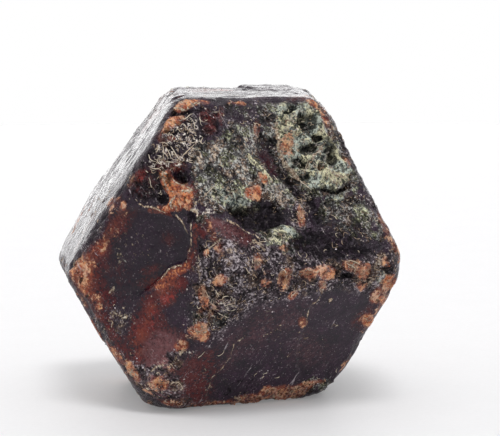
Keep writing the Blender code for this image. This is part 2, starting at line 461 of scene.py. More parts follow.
        *areas((8.0, 0.52, 122, 202, 134, 160, 158, 128, 176, 112, 204, 102, 224, 108, 220, 138, 200, 152,
            192, 176, 166, 190, 146, 208), (10.0, 0.34, 300, 204, 330, 212, 372, 222, 394, 248, 360, 256,
            310, 252), (9.0, 0.68, 294, 228, 320, 224, 352, 234, 378, 250, 356, 262, 318, 262, 294, 252)),
        *lines((1.7, 1.0, 321, 188, 333, 190, 347, 189), (1.4, 0.9, 163, 114, 175, 112, 195, 111),
            (1.1, 0.6, 168, 178, 171, 184, 171, 190), (1.2, 0.5, 178, 196, 177, 201, 172, 206),
            (1.2, 0.6, 186, 197, 184, 203)),
        *spots(0.45, (171, 148, 4, 5, 0.9), (184, 144, 4, 3.5, 0.95), (183, 176, 7, 7, 0.9),
            (195, 153, 5, 4, 0.9), (189, 123, 4, 3, 0.8), (160, 156, 4, 5, 0.8), (262, 240, 3, 3, 0.8),
            (280, 236, 3, 2, 0.6), (160, 199, 4, 4.5, 0.85), (240, 214, 9, 5, 0.9, 15),
            (348, 277, 5.5, 3.6, 0.95), (317, 249, 22, 9, 0.45), (375, 243, 20, 12, 0.35, 30),
            (240, 387, 26, 10, 0.35, -12), (266, 233, 5, 4), (178, 130, 8, 4, 0.7, -10),
            (197, 137, 6, 4, 0.8, -10), (176, 144, 4, 6, 0.8), (190, 217, 6, 7, 0.75),
            (355, 205, 14, 2.5, 0.5, 5), (240, 117, 5, 7, 0.45), (213, 254, 6, 4, 0.5),
            (142, 374, 5, 4, 0.6), (134, 386, 8, 5, 0.7, 35), (81, 281, 2, 3, 0.8), (87, 295, 2, 3, 0.8),
            (292, 153, 2.5, 3, 0.8), (208, 120, 6, 7, 0.7), (206, 132, 4, 4, 0.7), (300, 256, 20, 6, 0.3),
            (152, 192, 12, 10, 0.55), (275, 249, 12, 5, 0.4), (334, 270, 4, 4, 0.4), (378, 303, 3, 3, 0.5),
            (225, 298, 8, 3, 0.6)),
        *spots(0.8, (336, 177, 15, 6, 0.4, 10)),
    ),
    Finish.PINK: (
        *areas((15.0, 0.56, 144, 342, 158, 332, 178, 334, 180, 352, 168, 366, 148, 364), (16.0, 0.2,
            214, 338, 240, 318, 256, 304, 300, 298, 330, 300, 300, 330, 262, 352, 232, 372, 214, 376)),
        *spots(0.7, (310, 350, 30, 22, 0.2), (259, 259, 6, 6, 0.8), (240, 250, 20, 10, 0.3),
            (379, 297, 8, 9, 0.6, 30), (347, 162, 5, 7, 0.9, -25), (122, 205, 3, 6, 0.8),
            (312, 103, 7, 4, 0.5, 25), (200, 333, 8, 6, 0.4), (222, 228, 22, 7, 0.42, 22),
            (164, 366, 18, 6, 1, -14), (155, 374, 18, 12, 0.72), (136, 378, 10, 12, 0.4, -30),
            (160, 392, 16, 8, 0.5)),
    ),
    Finish.SMOOTH: (
        DISH, LOBE, Field(WEDGE.points, 2.5, 0.52),
        *areas((6.0, 1.0, 213, 340, 240, 318, 256, 304, 290, 299, 322, 292, 360, 290, 370, 300, 362, 325,
            346, 352, 325, 378, 270, 383, 236, 392, 212, 402)),
        *spots(0.6, (205, 365, 16, 24, 0.8, 30), (178, 318, 14, 18, 0.8, -10), (192, 392, 18, 12, 0.6),
            (150, 320, 24, 26, 0.6, 20)),
    ),
}

# Heights in millimetres of the relief on the three front faces.
FRONT_RELIEF: tuple[tuple[Shape, float], ...] = (
    (DISH, -0.3), (DISH_DEEP, -0.45), (Stroke(DISH_RIM, 2.4), 0.22), (LOBE, 0.25), (FLAME, 0.3),
    (Oval(182, 176, 7.5, 7.5), -1.1), (Oval(152, 190, 13, 12, 1.0, 0, 0.5), -0.4),
    (Oval(162, 199, 4, 4.5), -0.5), (Stroke((163, 114, 175, 112, 195, 111), 1.8), -0.4), (CRUST, 0.4),
    (LUMPS, 0.35), (GROOVE, -0.5), (UNDERCUT, -0.95), (Oval(240, 213, 9, 5, 1.0, 15), -0.4),
    (Stroke((321, 188, 333, 190, 347, 189), 1.8), -0.7), *((hole, -0.9) for hole in CRUST_HOLES),
    (Oval(266, 233, 5, 4), -0.6), (Oval(348, 277, 5.5, 3.6), -0.5),
    (Stroke((322, 203, 345, 201, 368, 205), 2.2), -0.22),
    (Stroke((325, 216, 350, 212, 380, 222), 2.2), -0.2),
    (Stroke((330, 230, 360, 226, 390, 236), 2.2), -0.2), (WORN_POINT, -0.12),
    (Stroke((228, 223, 240, 228, 256, 238), 3.0), 0.3),
    (Field((*STEP_HIGH, 296, 346, 300, 378, 330, 374, 365, 335, 378, 300, 350, 284), 1.2), -0.14),
    (Field((*STEP_LOW, 200, 408, 170, 405, 178, 360, 210, 338), 1.2), 0.16), (BASE_CRUST, 0.35),
    (Oval(360, 270, 13, 6.5), 0.2), (Oval(320, 273, 15, 6.5, 1.0, -6), 0.2),
    (Oval(200, 333, 9.5, 7.5, 1.0, 10), 0.25), (Oval(219, 281, 8, 4.5, 1.0, -14), 0.2),
    (Stroke((250, 154, 257, 164, 264, 174, 270, 181), 2.6), 0.3),
)


# --- The camera's sight -----------------------------------------------------------------------------------


def way_to(azimuth: float, elevation: float) -> Array:
    """The unit vector at angles in degrees from straight in front, below 0 to the left, and from level."""
    turn, lift = math.radians(azimuth), math.radians(elevation)
    return np.array((math.sin(turn) * math.cos(lift), -math.cos(turn) * math.cos(lift), math.sin(lift)))


def link(name: str, data: bpy.types.ID) -> bpy.types.Object:
    """A new object in the scene that shows the given data."""
    made = bpy.data.objects.new(name, data)
    bpy.context.scene.collection.objects.link(made)
    return made


@dataclass(frozen=True)
class Sight:
    """Where the camera stands, and where the points of the crystal fall in its picture."""

    aim: tuple[float, float, float] = (0.0030, 0.0003, 0.0232)
    azimuth: float = -5.83
    elevation: float = 7.09
    roll: float = -0.2
    distance: float = 0.3415
    lens: float = 181.7
    sensor: float = 36.0
    picture: tuple[int, int] = (500, 436)

    def axes(self) -> tuple[Array, Array, Array]:
        """The directions that the picture is made along.

        Returns:
            Its right, its up, and the way from the crystal back to the camera, as unit vectors.
        """
        back = way_to(self.azimuth, self.elevation)
        level = unit(np.cross((0.0, 0.0, 1.0), back))
        roll = math.radians(self.roll)
        right = level * math.cos(roll) + np.cross(back, level) * math.sin(roll)
        return right, np.cross(back, right), back

    def place(self) -> Array:
        """Where the camera is, in metres."""
        return np.array(self.aim) + self.axes()[2] * self.distance

    def pixels(self, points: Array) -> Array:
        """Where points fall in the picture: their offset over their depth, times the lens.

        Args:
            points: places in metres, (n, 3).

        Returns:
            Pixel coordinates, (n, 2).
        """
        right, up, back = self.axes()
        ray = points - self.place()
        scale = self.lens / self.sensor * self.picture[0] / -(ray @ back)
        return np.array(self.picture) / 2 + np.stack((ray @ right * scale, -(ray @ up) * scale), axis=1)

    def facing(self, points: Array, normals: Array) -> Array:
        """How squarely the surface faces the camera: the cosine of its normals to the way there, (n,)."""
        return np.sum(unit(self.place() - points) * normals, axis=1)

    def make_camera(self) -> None:
        """Makes the camera and hands it to the scene."""
        data = bpy.data.cameras.new("camera")
        data.lens, data.sensor_width = self.lens, self.sensor
        data.clip_start, data.clip_end = self.distance * 0.1, self.distance * 20
        turned = Matrix(self.axes()).transposed().to_4x4()
        turned.translation = Vector(self.place())
        camera = link("camera", data)
        camera.matrix_world = turned
        bpy.context.scene.camera = camera


SIGHT = Sight()


# --- Meshes -----------------------------------------------------------------------------------------------


def make_piece(
    name: str, points: Array, faces: list, values: dict[str, Array], material: Material, smooth: bool = True
) -> bpy.types.Object:
    """Makes a mesh object at the origin, riding on the crystal's body.

    Args:
        name: the piece's name.
        points: places in metres, (n, 3).
        faces: corner numbers of each face, counter-clockwise seen from outside.
        values: numbers, (n,), or vectors, (n, 3), for each point, by attribute name.
        material: its finish.
        smooth: whether its faces are shaded as one rounded surface.

    Returns:
        The object.
    """
    mesh = bpy.data.meshes.new(name)
    mesh.from_pydata(points.tolist(), [], faces)
    for attribute, numbers in values.items():
        kind, key = (("FLOAT", "value"), ("FLOAT_VECTOR", "vector"))[numbers.ndim - 1]
        layer = mesh.attributes.new(attribute, kind, "POINT")
        layer.data.foreach_set(key, np.ascontiguousarray(numbers, np.float32).ravel())
    (mesh.shade_smooth if smooth else mesh.shade_flat)()
    mesh.materials.append(material)
    piece = link(name, mesh)
    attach(piece, BODY)
    log.info("%s: %d points, %d faces", name, len(points), len(faces))
    return piece


def sphere_grid(side: int) -> tuple[Array, Array]:
    """Six square grids laid round a sphere, joined at their borders.

    A point at angles (u, v), each from -45 to 45 degrees, on the grid that faces along n with sides along a
    and b, lies in the direction a tan u + b tan v + n, made one long.

    Args:
        side: cells along a grid's side.

    Returns:
        Unit directions, (n, 3), and the corner numbers of the four-sided faces, (m, 4).
    """
    tangent = np.tan(np.linspace(-math.pi / 4, math.pi / 4, side + 1))
    u, v = np.meshgrid(tangent, tangent, indexing="ij")
    first = np.arange(side)[:, None] * (side + 1) + np.arange(side)
    quad = np.stack((first, first + side + 1, first + side + 2, first + 1), axis=-1).reshape(-1, 4)
    grids = []
    for axis, sign in product(range(3), (1.0, -1.0)):
        out = np.zeros(3)
        out[axis] = sign
        a = np.roll(np.abs(out), 1)
        grids.append((u[..., None] * a + v[..., None] * np.cross(out, a) + out).reshape(-1, 3))
    quads = np.concatenate([quad + index * u.size for index in range(len(grids))])
    points = unit(np.concatenate(grids))
    _, kept, number = np.unique(points.round(7) + 0.0, axis=0, return_index=True, return_inverse=True)
    return points[kept], number.reshape(-1)[quads]


@dataclass(frozen=True)
class Planes:
    """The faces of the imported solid: outward normals, (k, 3), and distances from a middle point, (k,)."""

    normals: Array
    distances: Array

    @classmethod
    def of_node(cls, node: bpy.types.Object, middle: Array) -> "Planes":
        """Gathers the node's triangles into planes.

        Triangles that face the same way to within about a third of a degree are one plane. Its distance is
        that of the solid's furthest point along its normal, so no plane cuts into the solid.

        Args:
            node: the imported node.
            middle: a point inside it.

        Returns:
            Its planes, without slivers.
        """
        places = np.empty(len(node.data.vertices) * 3)
        node.data.vertices.foreach_get("co", places)
        places = places.reshape(-1, 3) - middle
        corners = np.empty(len(node.data.loops), np.int32)
        node.data.loops.foreach_get("vertex_index", corners)
        a, b, c = places[corners.reshape(-1, 3).T]
        doubled = np.cross(b - a, c - a)
        area = np.linalg.norm(doubled, axis=1) / 2
        order = np.argsort(-area)
        order = order[area[order] > 1e-9]
        doubled, area = doubled[order], area[order]
        normal = unit(doubled)
        label = (normal @ normal.T > math.cos(0.006)).argmax(axis=1)
        chosen = [one for one in np.unique(label) if area[label == one].sum() > 0.02 * MM**2]
        normals = unit(np.array([doubled[label == one].sum(axis=0) for one in chosen]))
        return cls(normals, (places @ normals.T).max(axis=0))


def face_directions() -> Array:
    """The mineral's ideal face normals, each made from its turn round the Y axis and its tip to the front.

    Six lie round the Y axis, from the upper right by way of the top and the left; then come three in front,
    upper, left and lower, and three behind, right, upper and lower.

    Returns:
        Unit vectors, (12, 3).
    """
    front = math.sqrt(2 / 3)
    ways = [(30 + 60 * k, 0.0) for k in range(6)]
    ways += [(60 + 120 * k, front) for k in range(3)] + [(120 * k, -front) for k in range(3)]
    turn, tip = np.transpose(ways)
    turn, round_axis = np.radians(turn), np.sqrt(1 - tip**2)
    return np.stack((round_axis * np.cos(turn), -tip, round_axis * np.sin(turn)), axis=1)


# Each face is streaked along its edge to this other face.
STREAK_NEIGHBOURS = (6, 6, 7, 7, 8, 8, 0, 3, 5, 5, 1, 3)


# --- The skin ---------------------------------------------------------------------------------------------


class Habit(Enum):
    """How a face that the front doesn't show is weathered."""

    SATIN = "satin"  # clean and finely grooved
    STAINED = "stained"  # red and brown, with smooth hollows
    CRUSTED = "crusted"  # grey-green and porous


# In the order of the face directions. The three in front carry their own marks besides.
FACE_HABITS = [
    *(Habit.STAINED, Habit.SATIN, Habit.SATIN) * 2, *(Habit.STAINED,) * 4, Habit.CRUSTED, Habit.SATIN]

# How many marks a face carries: count, least and greatest half width in millimetres, and strength.
PLENTY: dict[Habit, dict[Finish, tuple[int, float, float, float]]] = {
    Habit.SATIN: {
        Finish.RUST: (4, 0.6, 2.2, 0.4), Finish.RED: (4, 2.0, 5.0, 0.7), Finish.MICA: (4, 1.0, 3.5, 0.5),
        Finish.HOLLOW_SHADE: (4, 0.3, 0.9, 0.8), Finish.PINK: (1, 1.5, 3.0, 0.5), Finish.PALE: (4, 0.5, 2.0, 0.4),
    },
    Habit.STAINED: {
        Finish.RUST: (9, 0.7, 2.6, 0.9), Finish.RED: (8, 1.5, 5.0, 1.0), Finish.GLOW: (5, 1.0, 3.0, 0.9),
        Finish.CHLORITE: (2, 1.5, 3.5, 0.7), Finish.MICA: (6, 1.5, 5.0, 0.9),
        Finish.HOLLOW_SHADE: (6, 0.4, 1.4, 0.9), Finish.PINK: (3, 1.5, 4.0, 0.7),
        Finish.SMOOTH: (3, 3.0, 7.0, 1.0), Finish.PALE: (6, 0.5, 2.0, 0.5),
    },
    Habit.CRUSTED: {
        Finish.RUST: (9, 0.7, 2.4, 0.9), Finish.RED: (4, 1.5, 4.0, 0.8),
        Finish.CHLORITE: (6, 3.0, 7.0, 0.9), Finish.CRUST: (3, 2.0, 5.0, 0.95),
        Finish.MICA: (6, 1.5, 5.0, 0.9), Finish.HOLLOW_SHADE: (12, 0.4, 1.6, 0.95),
        Finish.PINK: (3, 1.0, 3.0, 0.7), Finish.SMOOTH: (1, 3.0, 6.0, 1.0), Finish.PALE: (8, 0.5, 2.5, 0.5),
    },
}
CHANCE_LIFT_MM = {
    Finish.RUST: 0.15, Finish.CRUST: 0.35, Finish.HOLLOW_SHADE: -0.6, Finish.GLOW: 0.2, Finish.SMOOTH: -0.15}


@dataclass
class CrystalSkin:
    """The crystal's whole outside, as one closed surface: points, normals, four-sided faces and covers.

    While it is built, base holds the points before relief, smooth_mm the same from the middle in
    millimetres, edge_mm their distances to the nearest crystal edge, owner their face numbers and warp
    uneven shifts of them in pixels. Front is 1 on the faces seen from the front.
    """

    side: int = 128  # cells along each of the six grids
    pull: float = 0.26  # how far the grids' points are drawn to the front
    sharpness: float = 620.0  # of the bends between faces
    turned_mm: float = 1.3  # how far the front's marks reach round the lower edges
    groove_mm: float = 0.07  # depth of the belt's grooves
    seed: int = 11

    def __post_init__(self) -> None:
        """Works out the surface, its marks and its relief."""
        low, high = (np.array(corner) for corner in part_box(NODE))
        middle = (low + high) / 2
        planes = Planes.of_node(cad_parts[NODE], middle)
        directions, self.faces = sphere_grid(self.side)
        directions[:, 1] -= self.pull * (1 - 0.3 * np.abs(directions[:, 1]))
        directions = unit(directions)
        base, self.normals = self.base_surface(directions, planes)
        self.edge_mm, self.owner = self.edge_distances(base, planes)
        self.smooth_mm = base / MM
        self.base = base + middle
        self.warp = np.stack([2.6 * self.noise(1.8, seed, 3) for seed in (1, 2)], axis=1)
        turned = np.isin(self.owner, (3, 5)) & (self.edge_mm < self.turned_mm)
        facing = rise(0.1, 0.3, SIGHT.facing(self.base, self.normals))
        self.front = np.isin(self.owner, (6, 7, 8)) * facing + turned
        self.pixels = SIGHT.pixels(self.base) + self.warp
        self.lay_front_marks()
        self.lay_chance_marks()
        self.wear_edges()
        height = self.relief()
        self.points = self.base + self.normals * np.clip(height, -1.5, 0.42)[:, None] * MM
        self.points[:, 2] = np.maximum(self.points[:, 2], 0.0)
        ideal = face_directions()
        self.covers["along"] = unit(np.cross(ideal, ideal[list(STREAK_NEIGHBOURS)]))[self.owner]
        belt = (self.owner < 6) * rise(0.0, 0.25, self.edge_mm) * (1 - self.front)
        self.covers["belt"] = belt * np.where(self.owner == 1, 0.5, 1.0)

    def noise(self, grain_mm: float, seed: int, count: int = 4, scale: tuple = (1.0, 1.0, 1.0)) -> Array:
        """Layered noise at the surface's points, with the skin's own seed added."""
        return layers(self.smooth_mm * np.array(scale), grain_mm, self.seed + seed, count)

    def base_surface(self, directions: Array, planes: Planes) -> tuple[Array, Array]:
        """The solid's surface with softened bends.

        Along a direction d, each plane with normal n and distance h is met after h / (n . d). The surface
        lies at a smooth least of these: the sum of ((n . d) / h) to a high power, taken to minus one over
        that power. The same terms weigh the normals.

        Args:
            directions: unit directions from the middle, (n, 3).
            planes: the solid's planes.

        Returns:
            Places from the middle, (n, 3), and outward unit normals, (n, 3).
        """
        nearness = np.maximum(directions @ planes.normals.T, 0.0) / planes.distances
        most = nearness.max(axis=1)[:, None]
        terms = (nearness / most) ** self.sharpness
        reach = terms.sum(axis=1)[:, None] ** (-1.0 / self.sharpness) / most
        return directions * reach, unit(terms @ planes.normals)

    def edge_distances(self, base: Array, planes: Planes) -> tuple[Array, Array]:
        """How far each point is from the nearest crystal edge, and which of the twelve faces it lies on.

        A point on one face is as far from the edge to another as its depth under the other's plane, over
        the sine of the 60 degrees between their normals.

        Args:
            base: places from the middle, (n, 3).
            planes: the solid's planes.

        Returns:
            Distances in millimetres, (n,), and face numbers, (n,).
        """
        match = planes.normals @ face_directions().T > math.cos(math.radians(10))
        depth = planes.distances - base @ planes.normals.T
        depths = np.stack([depth[:, own].min(axis=1) for own in match.T], axis=1)
        return np.sort(depths, axis=1)[:, 1] / MM / math.sin(math.radians(60)), depths.argmin(axis=1)

    def lay(self, finish: Finish, cover: Array) -> None:
        """Raises a finish's cover to the given one where that is more."""
        self.covers[finish.value] = np.maximum(self.covers[finish.value], cover)

    def lay_front_marks(self) -> None:
        """Lays the listed marks on the front."""
        self.covers = {finish.value: np.zeros(len(self.base)) for finish in Finish}
        for finish, shapes in FRONT_MARKS.items():
            for shape in shapes:
                self.lay(finish, shape.cover(self.pixels) * self.front)

    def lay_chance_marks(self) -> None:
        """Lays seeded ovals and pale lines on the nine faces that the front doesn't show."""
        rng = np.random.default_rng(self.seed)
        self.chance_relief = np.zeros(len(self.base))
        for number, normal in enumerate(face_directions()):
            satin = FACE_HABITS[number] is Habit.SATIN
            own = self.owner == number
            self.lay(Finish.SMOOTH, 0.75 * satin * own)
            side = unit(np.cross(normal, (0.3, 0.9, 0.2)))
            flat = np.stack((self.smooth_mm @ side, self.smooth_mm @ np.cross(normal, side)), axis=1)
            flat += self.warp * 0.5 - flat[own].mean(axis=0)
            shown = own * (1.0 - self.front)
            for finish, (count, least, most, strength) in PLENTY[FACE_HABITS[number]].items():
                for _ in range(count):
                    x, y = rng.uniform(-13, 13, 2)
                    wide, shrink = rng.uniform(least, most), rng.uniform(0.35, 1.0)
                    turn, amount = rng.uniform(0, 180), strength * rng.uniform(0.6, 1.0)
                    cover = Oval(x, y, wide, wide * shrink, amount, turn, 0.6).cover(flat) * shown
                    self.lay(finish, cover)
                    self.chance_relief += cover * CHANCE_LIFT_MM.get(finish, 0.0) * (0.4 if satin else 1.0)
            for _ in range(3):
                x, y, angle = *rng.uniform(-12, 12, 2), rng.uniform(0, math.pi)
                dx, dy = math.cos(angle) * 6, math.sin(angle) * 6
                bend_x, bend_y = rng.uniform(-2, 2, 2)
                line = Stroke((x - dx, y - dy, x + bend_x, y + bend_y, x + dx, y + dy), 0.14, 0.56)
                self.lay(Finish.PALE, line.cover(flat) * shown)

    def wear_edges(self) -> None:
        """Lays patchy rust and rough wear along every edge, less on the front and on satin faces."""
        worn = rise(1.6, 0.1, self.edge_mm)
        patchy = self.noise(3.2, 31)
        satin = np.array([habit is Habit.SATIN for habit in FACE_HABITS])[self.owner]
        self.lay(Finish.RUST, worn * rise(0.05, 0.5, patchy) * (0.8 - 0.4 * self.front) * (1 - 0.7 * satin))
        self.lay(Finish.MICA, worn * rise(0.1, -0.4, patchy) * 0.8 * (1 - 0.5 * satin))

    def relief(self) -> Array:
        """Height of the relief: the marks' lifts, growth steps, chips along edges and roughness by finish.

        Returns:
            Heights in millimetres along the normals, (n,).
        """
        cover, place = self.covers, self.smooth_mm
        height = sum(lift * mark.cover(self.pixels) for mark, lift in FRONT_RELIEF) * self.front
        height += self.chance_relief
        broad = self.noise(9.0, 50, 2)
        height += 0.10 * broad
        terraces = 5.0 * self.noise(11.0, 51, 3)
        steps = np.floor(terraces) + rise(0.80, 1.0, terraces % 1.0) - terraces
        height += 0.10 * steps * (1 - 0.6 * self.front)
        x, y = place[:, 0], place[:, 1]
        plateau = (self.owner == 1) * rise(2.0, 3.2, x + 0.6 * self.warp[:, 0]) * rise(10.5, 9.0, x)
        height += 0.32 * plateau * rise(-6.0, 7.0, y + self.warp[:, 1])
        calm = 1.0 - 0.75 * cover["smooth"]
        rough = 0.03 + 0.09 * (cover["mica"] + cover["chlorite"]) + 0.06 * (cover["rust"] + cover["crust"])
        height += calm * rough * self.noise(1.3, 60, 3) * 1.6
        gap, chance = cells(place + self.warp[:, :1] * 0.1, 1.5, self.seed + 70)
        height -= 0.38 * cover["crust"] * rise(0.10, 0.45, gap) * (0.4 + 0.6 * chance)
        gap, chance = cells(place, 0.75, self.seed + 80)
        chipped = (cover["mica"] + 0.6 * cover["rust"]) * calm
        height += 0.16 * chipped * (chance - 0.5) * rise(0.0, 0.25, gap)
        height += self.groove_mm * self.noise(1.4, 90, 3, (0.35, 1.0, 1.0)) * (self.owner < 6)
        height -= 0.38 * rise(0.05, 0.55, self.noise(2.1, 95, 3)) * rise(1.5, 0.0, self.edge_mm)
        cover["height"] = np.clip(0.5 + height - 0.055 * broad, 0, 1)
        return height

    def make(self, material: Material) -> None:
        """Makes the skin's object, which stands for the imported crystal."""
        piece = make_piece("crystal_skin", self.points, self.faces.tolist(), self.covers, material)
        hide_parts(NODE)

    def scatter(self, weight: Array, count: int, rng: np.random.Generator) -> Array:
        """Draws point numbers by chance, in proportion to a weight and to each point's share of surface.

        Args:
            weight: relative plenty, (n,).
            count: how many to draw.
            rng: the source of chance.

        Returns:
            Point numbers, (count,).
        """
        corner = self.points[self.faces]
        area = np.linalg.norm(np.cross(corner[:, 2] - corner[:, 0], corner[:, 3] - corner[:, 1]), axis=1)
        share = np.bincount(self.faces.ravel(), np.repeat(area, 4), len(self.points)) * weight.clip(0.0)
        return rng.choice(len(share), count, replace=False, p=share / share.sum())


# --- Small things grown on the skin -----------------------------------------------------------------------


def tilted_axes(normals: Array, tilt: float, rng: np.random.Generator) -> Array:
    """Three square axes for each normal, the third near the normal and the others turned by chance.

    Args:
        normals: unit normals, (n, 3).
        tilt: how far the third axis leans at most, as a slope.
        rng: the source of chance.

    Returns:
        Axes, (n, 3, 3), one in each row.
    """
    third = unit(normals + rng.uniform(-tilt, tilt, normals.shape))
    first = unit(np.cross(third, rng.normal(size=normals.shape)))
    return np.stack((first, np.cross(third, first), third), axis=1)


def make_bodies(
    name: str, points: Array, template: list, chance: Array, material: Material, smooth: bool = False
) -> None:
    """Makes many bodies with the same faces as one piece, none of it under the ground.

    Args:
        name: the piece's name.
        points: each body's corners in metres, (n, k, 3).
        template: corner numbers of one body's faces.
        chance: each body's own number, (n,).
        material: their finish.
        smooth: whether they are shaded as rounded.
    """
    points[..., 2] = np.maximum(points[..., 2], 0.0)
    count, corners, _ = points.shape
    first = np.arange(count)[:, None] * corners
    faces = [row for face in template for row in (first + np.array(face)).tolist()]
    make_piece(name, points.reshape(-1, 3), faces, {"chance": np.repeat(chance, corners)}, material, smooth)


@dataclass
class MicaFlakes:
    """Thin bright plates lying on the rough skin, at all angles."""

    count: int = 4000
    half_width_mm: tuple[float, float] = (0.04, 0.17)
    half_thickness_mm: float = 0.014
    tilt: float = 0.7
    seed: int = 21

    def make(self, skin: CrystalSkin, material: Material) -> None:
        """Scatters the plates: two rings of six uneven corners each, joined by a rim.

        A corner lies at radius r and angle t from the plate's middle, at r cos t along its first axis and
        r s sin t along its second, where s is the plate's narrowness.

        Args:
            skin: the finished skin.
            material: the plates' finish.
        """
        rng = np.random.default_rng(self.seed)
        cover = skin.covers
        weight = cover["mica"] + 0.45 * cover["chlorite"] + 0.25 * cover["pink"] + 0.02
        weight *= (1 - cover["hollow"]) * (1 - 0.85 * cover["smooth"])
        number = skin.scatter(weight, self.count, rng)
        axes = tilted_axes(skin.normals[number], self.tilt, rng)
        angle = np.arange(6) * math.pi / 3 + rng.uniform(-0.3, 0.3, (self.count, 6))
        radius = rng.uniform(0.65, 1.1, (self.count, 6))
        size = self.half_width_mm[0] + rng.random((self.count, 1)) ** 3 * np.ptp(self.half_width_mm)
        narrow = rng.uniform(0.22, 0.9, (self.count, 1))
        radius *= size
        ring = np.stack((radius * np.cos(angle), radius * np.sin(angle) * narrow, 0 * radius), axis=-1)
        thick = np.array((0.0, 0.0, self.half_thickness_mm))
        local = np.concatenate((ring - thick, ring + thick), axis=1)
        middle = skin.points[number] + skin.normals[number] * 0.25 * size * MM * self.tilt
        points = middle[:, None] + np.einsum("nki,nij->nkj", local, axes) * MM
        sides = [[i, (i + 1) % 6, 6 + (i + 1) % 6, 6 + i] for i in range(6)]
        template = [[5, 4, 3, 2, 1, 0], [6, 7, 8, 9, 10, 11], *sides]
        make_bodies("mica_flakes", points, template, rng.random(self.count), material)


@dataclass
class Grains:
    """Uneven crumbs half sunk in the skin, where one finish is."""

    name: str
    finish: Finish
    count: int
    half_width_mm: tuple[float, float]
    seed: int

    def make(self, skin: CrystalSkin, material: Material) -> None:
        """Scatters the crumbs: twelve-cornered balls whose corners are pulled in or out by chance.

        The corners of the even ball are all (0, +-1, +-g) and their cyclic shifts, with g the golden ratio.

        Args:
            skin: the finished skin.
            material: the crumbs' finish.
        """
        rng = np.random.default_rng(self.seed)
        cover = skin.covers[self.finish.value]
        number = skin.scatter(rise(0.35, 0.9, cover) * (1 - skin.covers["hollow"]), self.count, rng)
        golden = (1 + math.sqrt(5)) / 2
        turns = product(range(3), (-1.0, 1.0), (-golden, golden))
        ball = unit(np.array([np.roll((0.0, near, far), turn) for turn, near, far in turns]))
        near = np.linalg.norm(ball[:, None] - ball, axis=2) < 1.2
        faces = [
            [i, j, k] if np.linalg.det(ball[[i, j, k]]) > 0 else [i, k, j]
            for i, j, k in combinations(range(12), 3) if near[i, j] and near[j, k] and near[i, k]
        ]
        size = self.half_width_mm[0] + rng.random(self.count) ** 2 * np.ptp(self.half_width_mm)
        wide, high = (size * rng.uniform(*limits, self.count) for limits in ((0.55, 1.0), (0.4, 0.7)))
        squash = np.stack((size, wide, high), axis=1)
        local = ball * rng.uniform(0.75, 1.2, (self.count, 12, 1)) * squash[:, None]
        axes = tilted_axes(skin.normals[number], 0.5, rng)
        points = skin.points[number][:, None] + np.einsum("nki,nij->nkj", local, axes) * MM
        make_bodies(self.name, points, faces, rng.random(self.count), material)


# The threads of the front, in pixels.
FRONT_FIBRES: tuple[tuple[float, ...], ...] = (
    (162, 142, 164, 147, 163, 151, 167, 154, 169, 159, 167, 162),
    (165, 148, 168, 150, 171, 154, 170, 158, 174, 161, 178, 160),
    (170, 145, 173, 148, 172, 152, 176, 154, 177, 158, 181, 160),
    (197, 141, 193, 144, 190, 149, 186, 151, 183, 156, 178, 160),
    (149, 165, 151, 169, 156, 168, 159, 169, 162, 165, 166, 164),
    (163, 164, 167, 161, 171, 163, 175, 161, 178, 162), (148, 153, 150, 156, 149, 159, 153, 161, 156, 161),
    (160, 143, 163, 141, 166, 143, 168, 146), (166, 152, 163, 155, 164, 159, 161, 161),
    (184, 118, 187, 119, 189, 116, 192, 113), (181, 125, 184, 124, 186, 127, 185, 130),
    (188, 129, 190, 132, 194, 132, 196, 135), (190, 138, 189, 141, 192, 143, 195, 142),
    (170, 134, 173, 135, 174, 138, 172, 141), (188, 152, 187, 155, 190, 157, 193, 156),
    (176, 128, 179, 129, 180, 132, 183, 133), (192, 121, 194, 123, 193, 127, 196, 129),
    (158, 158, 157, 162, 160, 164, 163, 162), (199, 117, 201, 120, 199, 123, 202, 126),
    (203, 138, 200, 141, 202, 144), (155, 150, 157, 147, 160, 149),
    (148, 178, 151, 181, 150, 185, 153, 188), (219, 300, 223, 296, 229, 295, 234, 298),
    (224, 306, 228, 304, 234, 306), (226, 309, 231, 311, 235, 309), (217, 312, 222, 314, 228, 318),
    (216, 289, 218, 294, 220, 297), (204, 290, 207, 294, 208, 298),
    (205, 251, 212, 246, 219, 241, 224, 239), (252, 244, 256, 241, 260, 244, 266, 248),
    (198, 358, 201, 355, 205, 352), (216, 356, 221, 354, 224, 350),
    (170, 384, 174, 381, 179, 382, 182, 389), (254, 376, 257, 373), (262, 374, 268, 373),
    (262, 378, 264, 376), (276, 378, 279, 376), (207, 250, 206, 255, 208, 258),
    (243, 267, 248, 270, 250, 275), (195, 203, 205, 196, 212, 189, 216, 185),
    (190, 209, 196, 210, 198, 214), (300, 181, 306, 186, 311, 189), (273, 175, 276, 178, 278, 181),
    (314, 153, 309, 159, 306, 165, 305, 171), (330, 214, 335, 217, 338, 220),
    (345, 262, 351, 266, 357, 268), (348, 260, 355, 262, 362, 266), (281, 268, 286, 271, 288, 277),
    (290, 297, 297, 291),
)

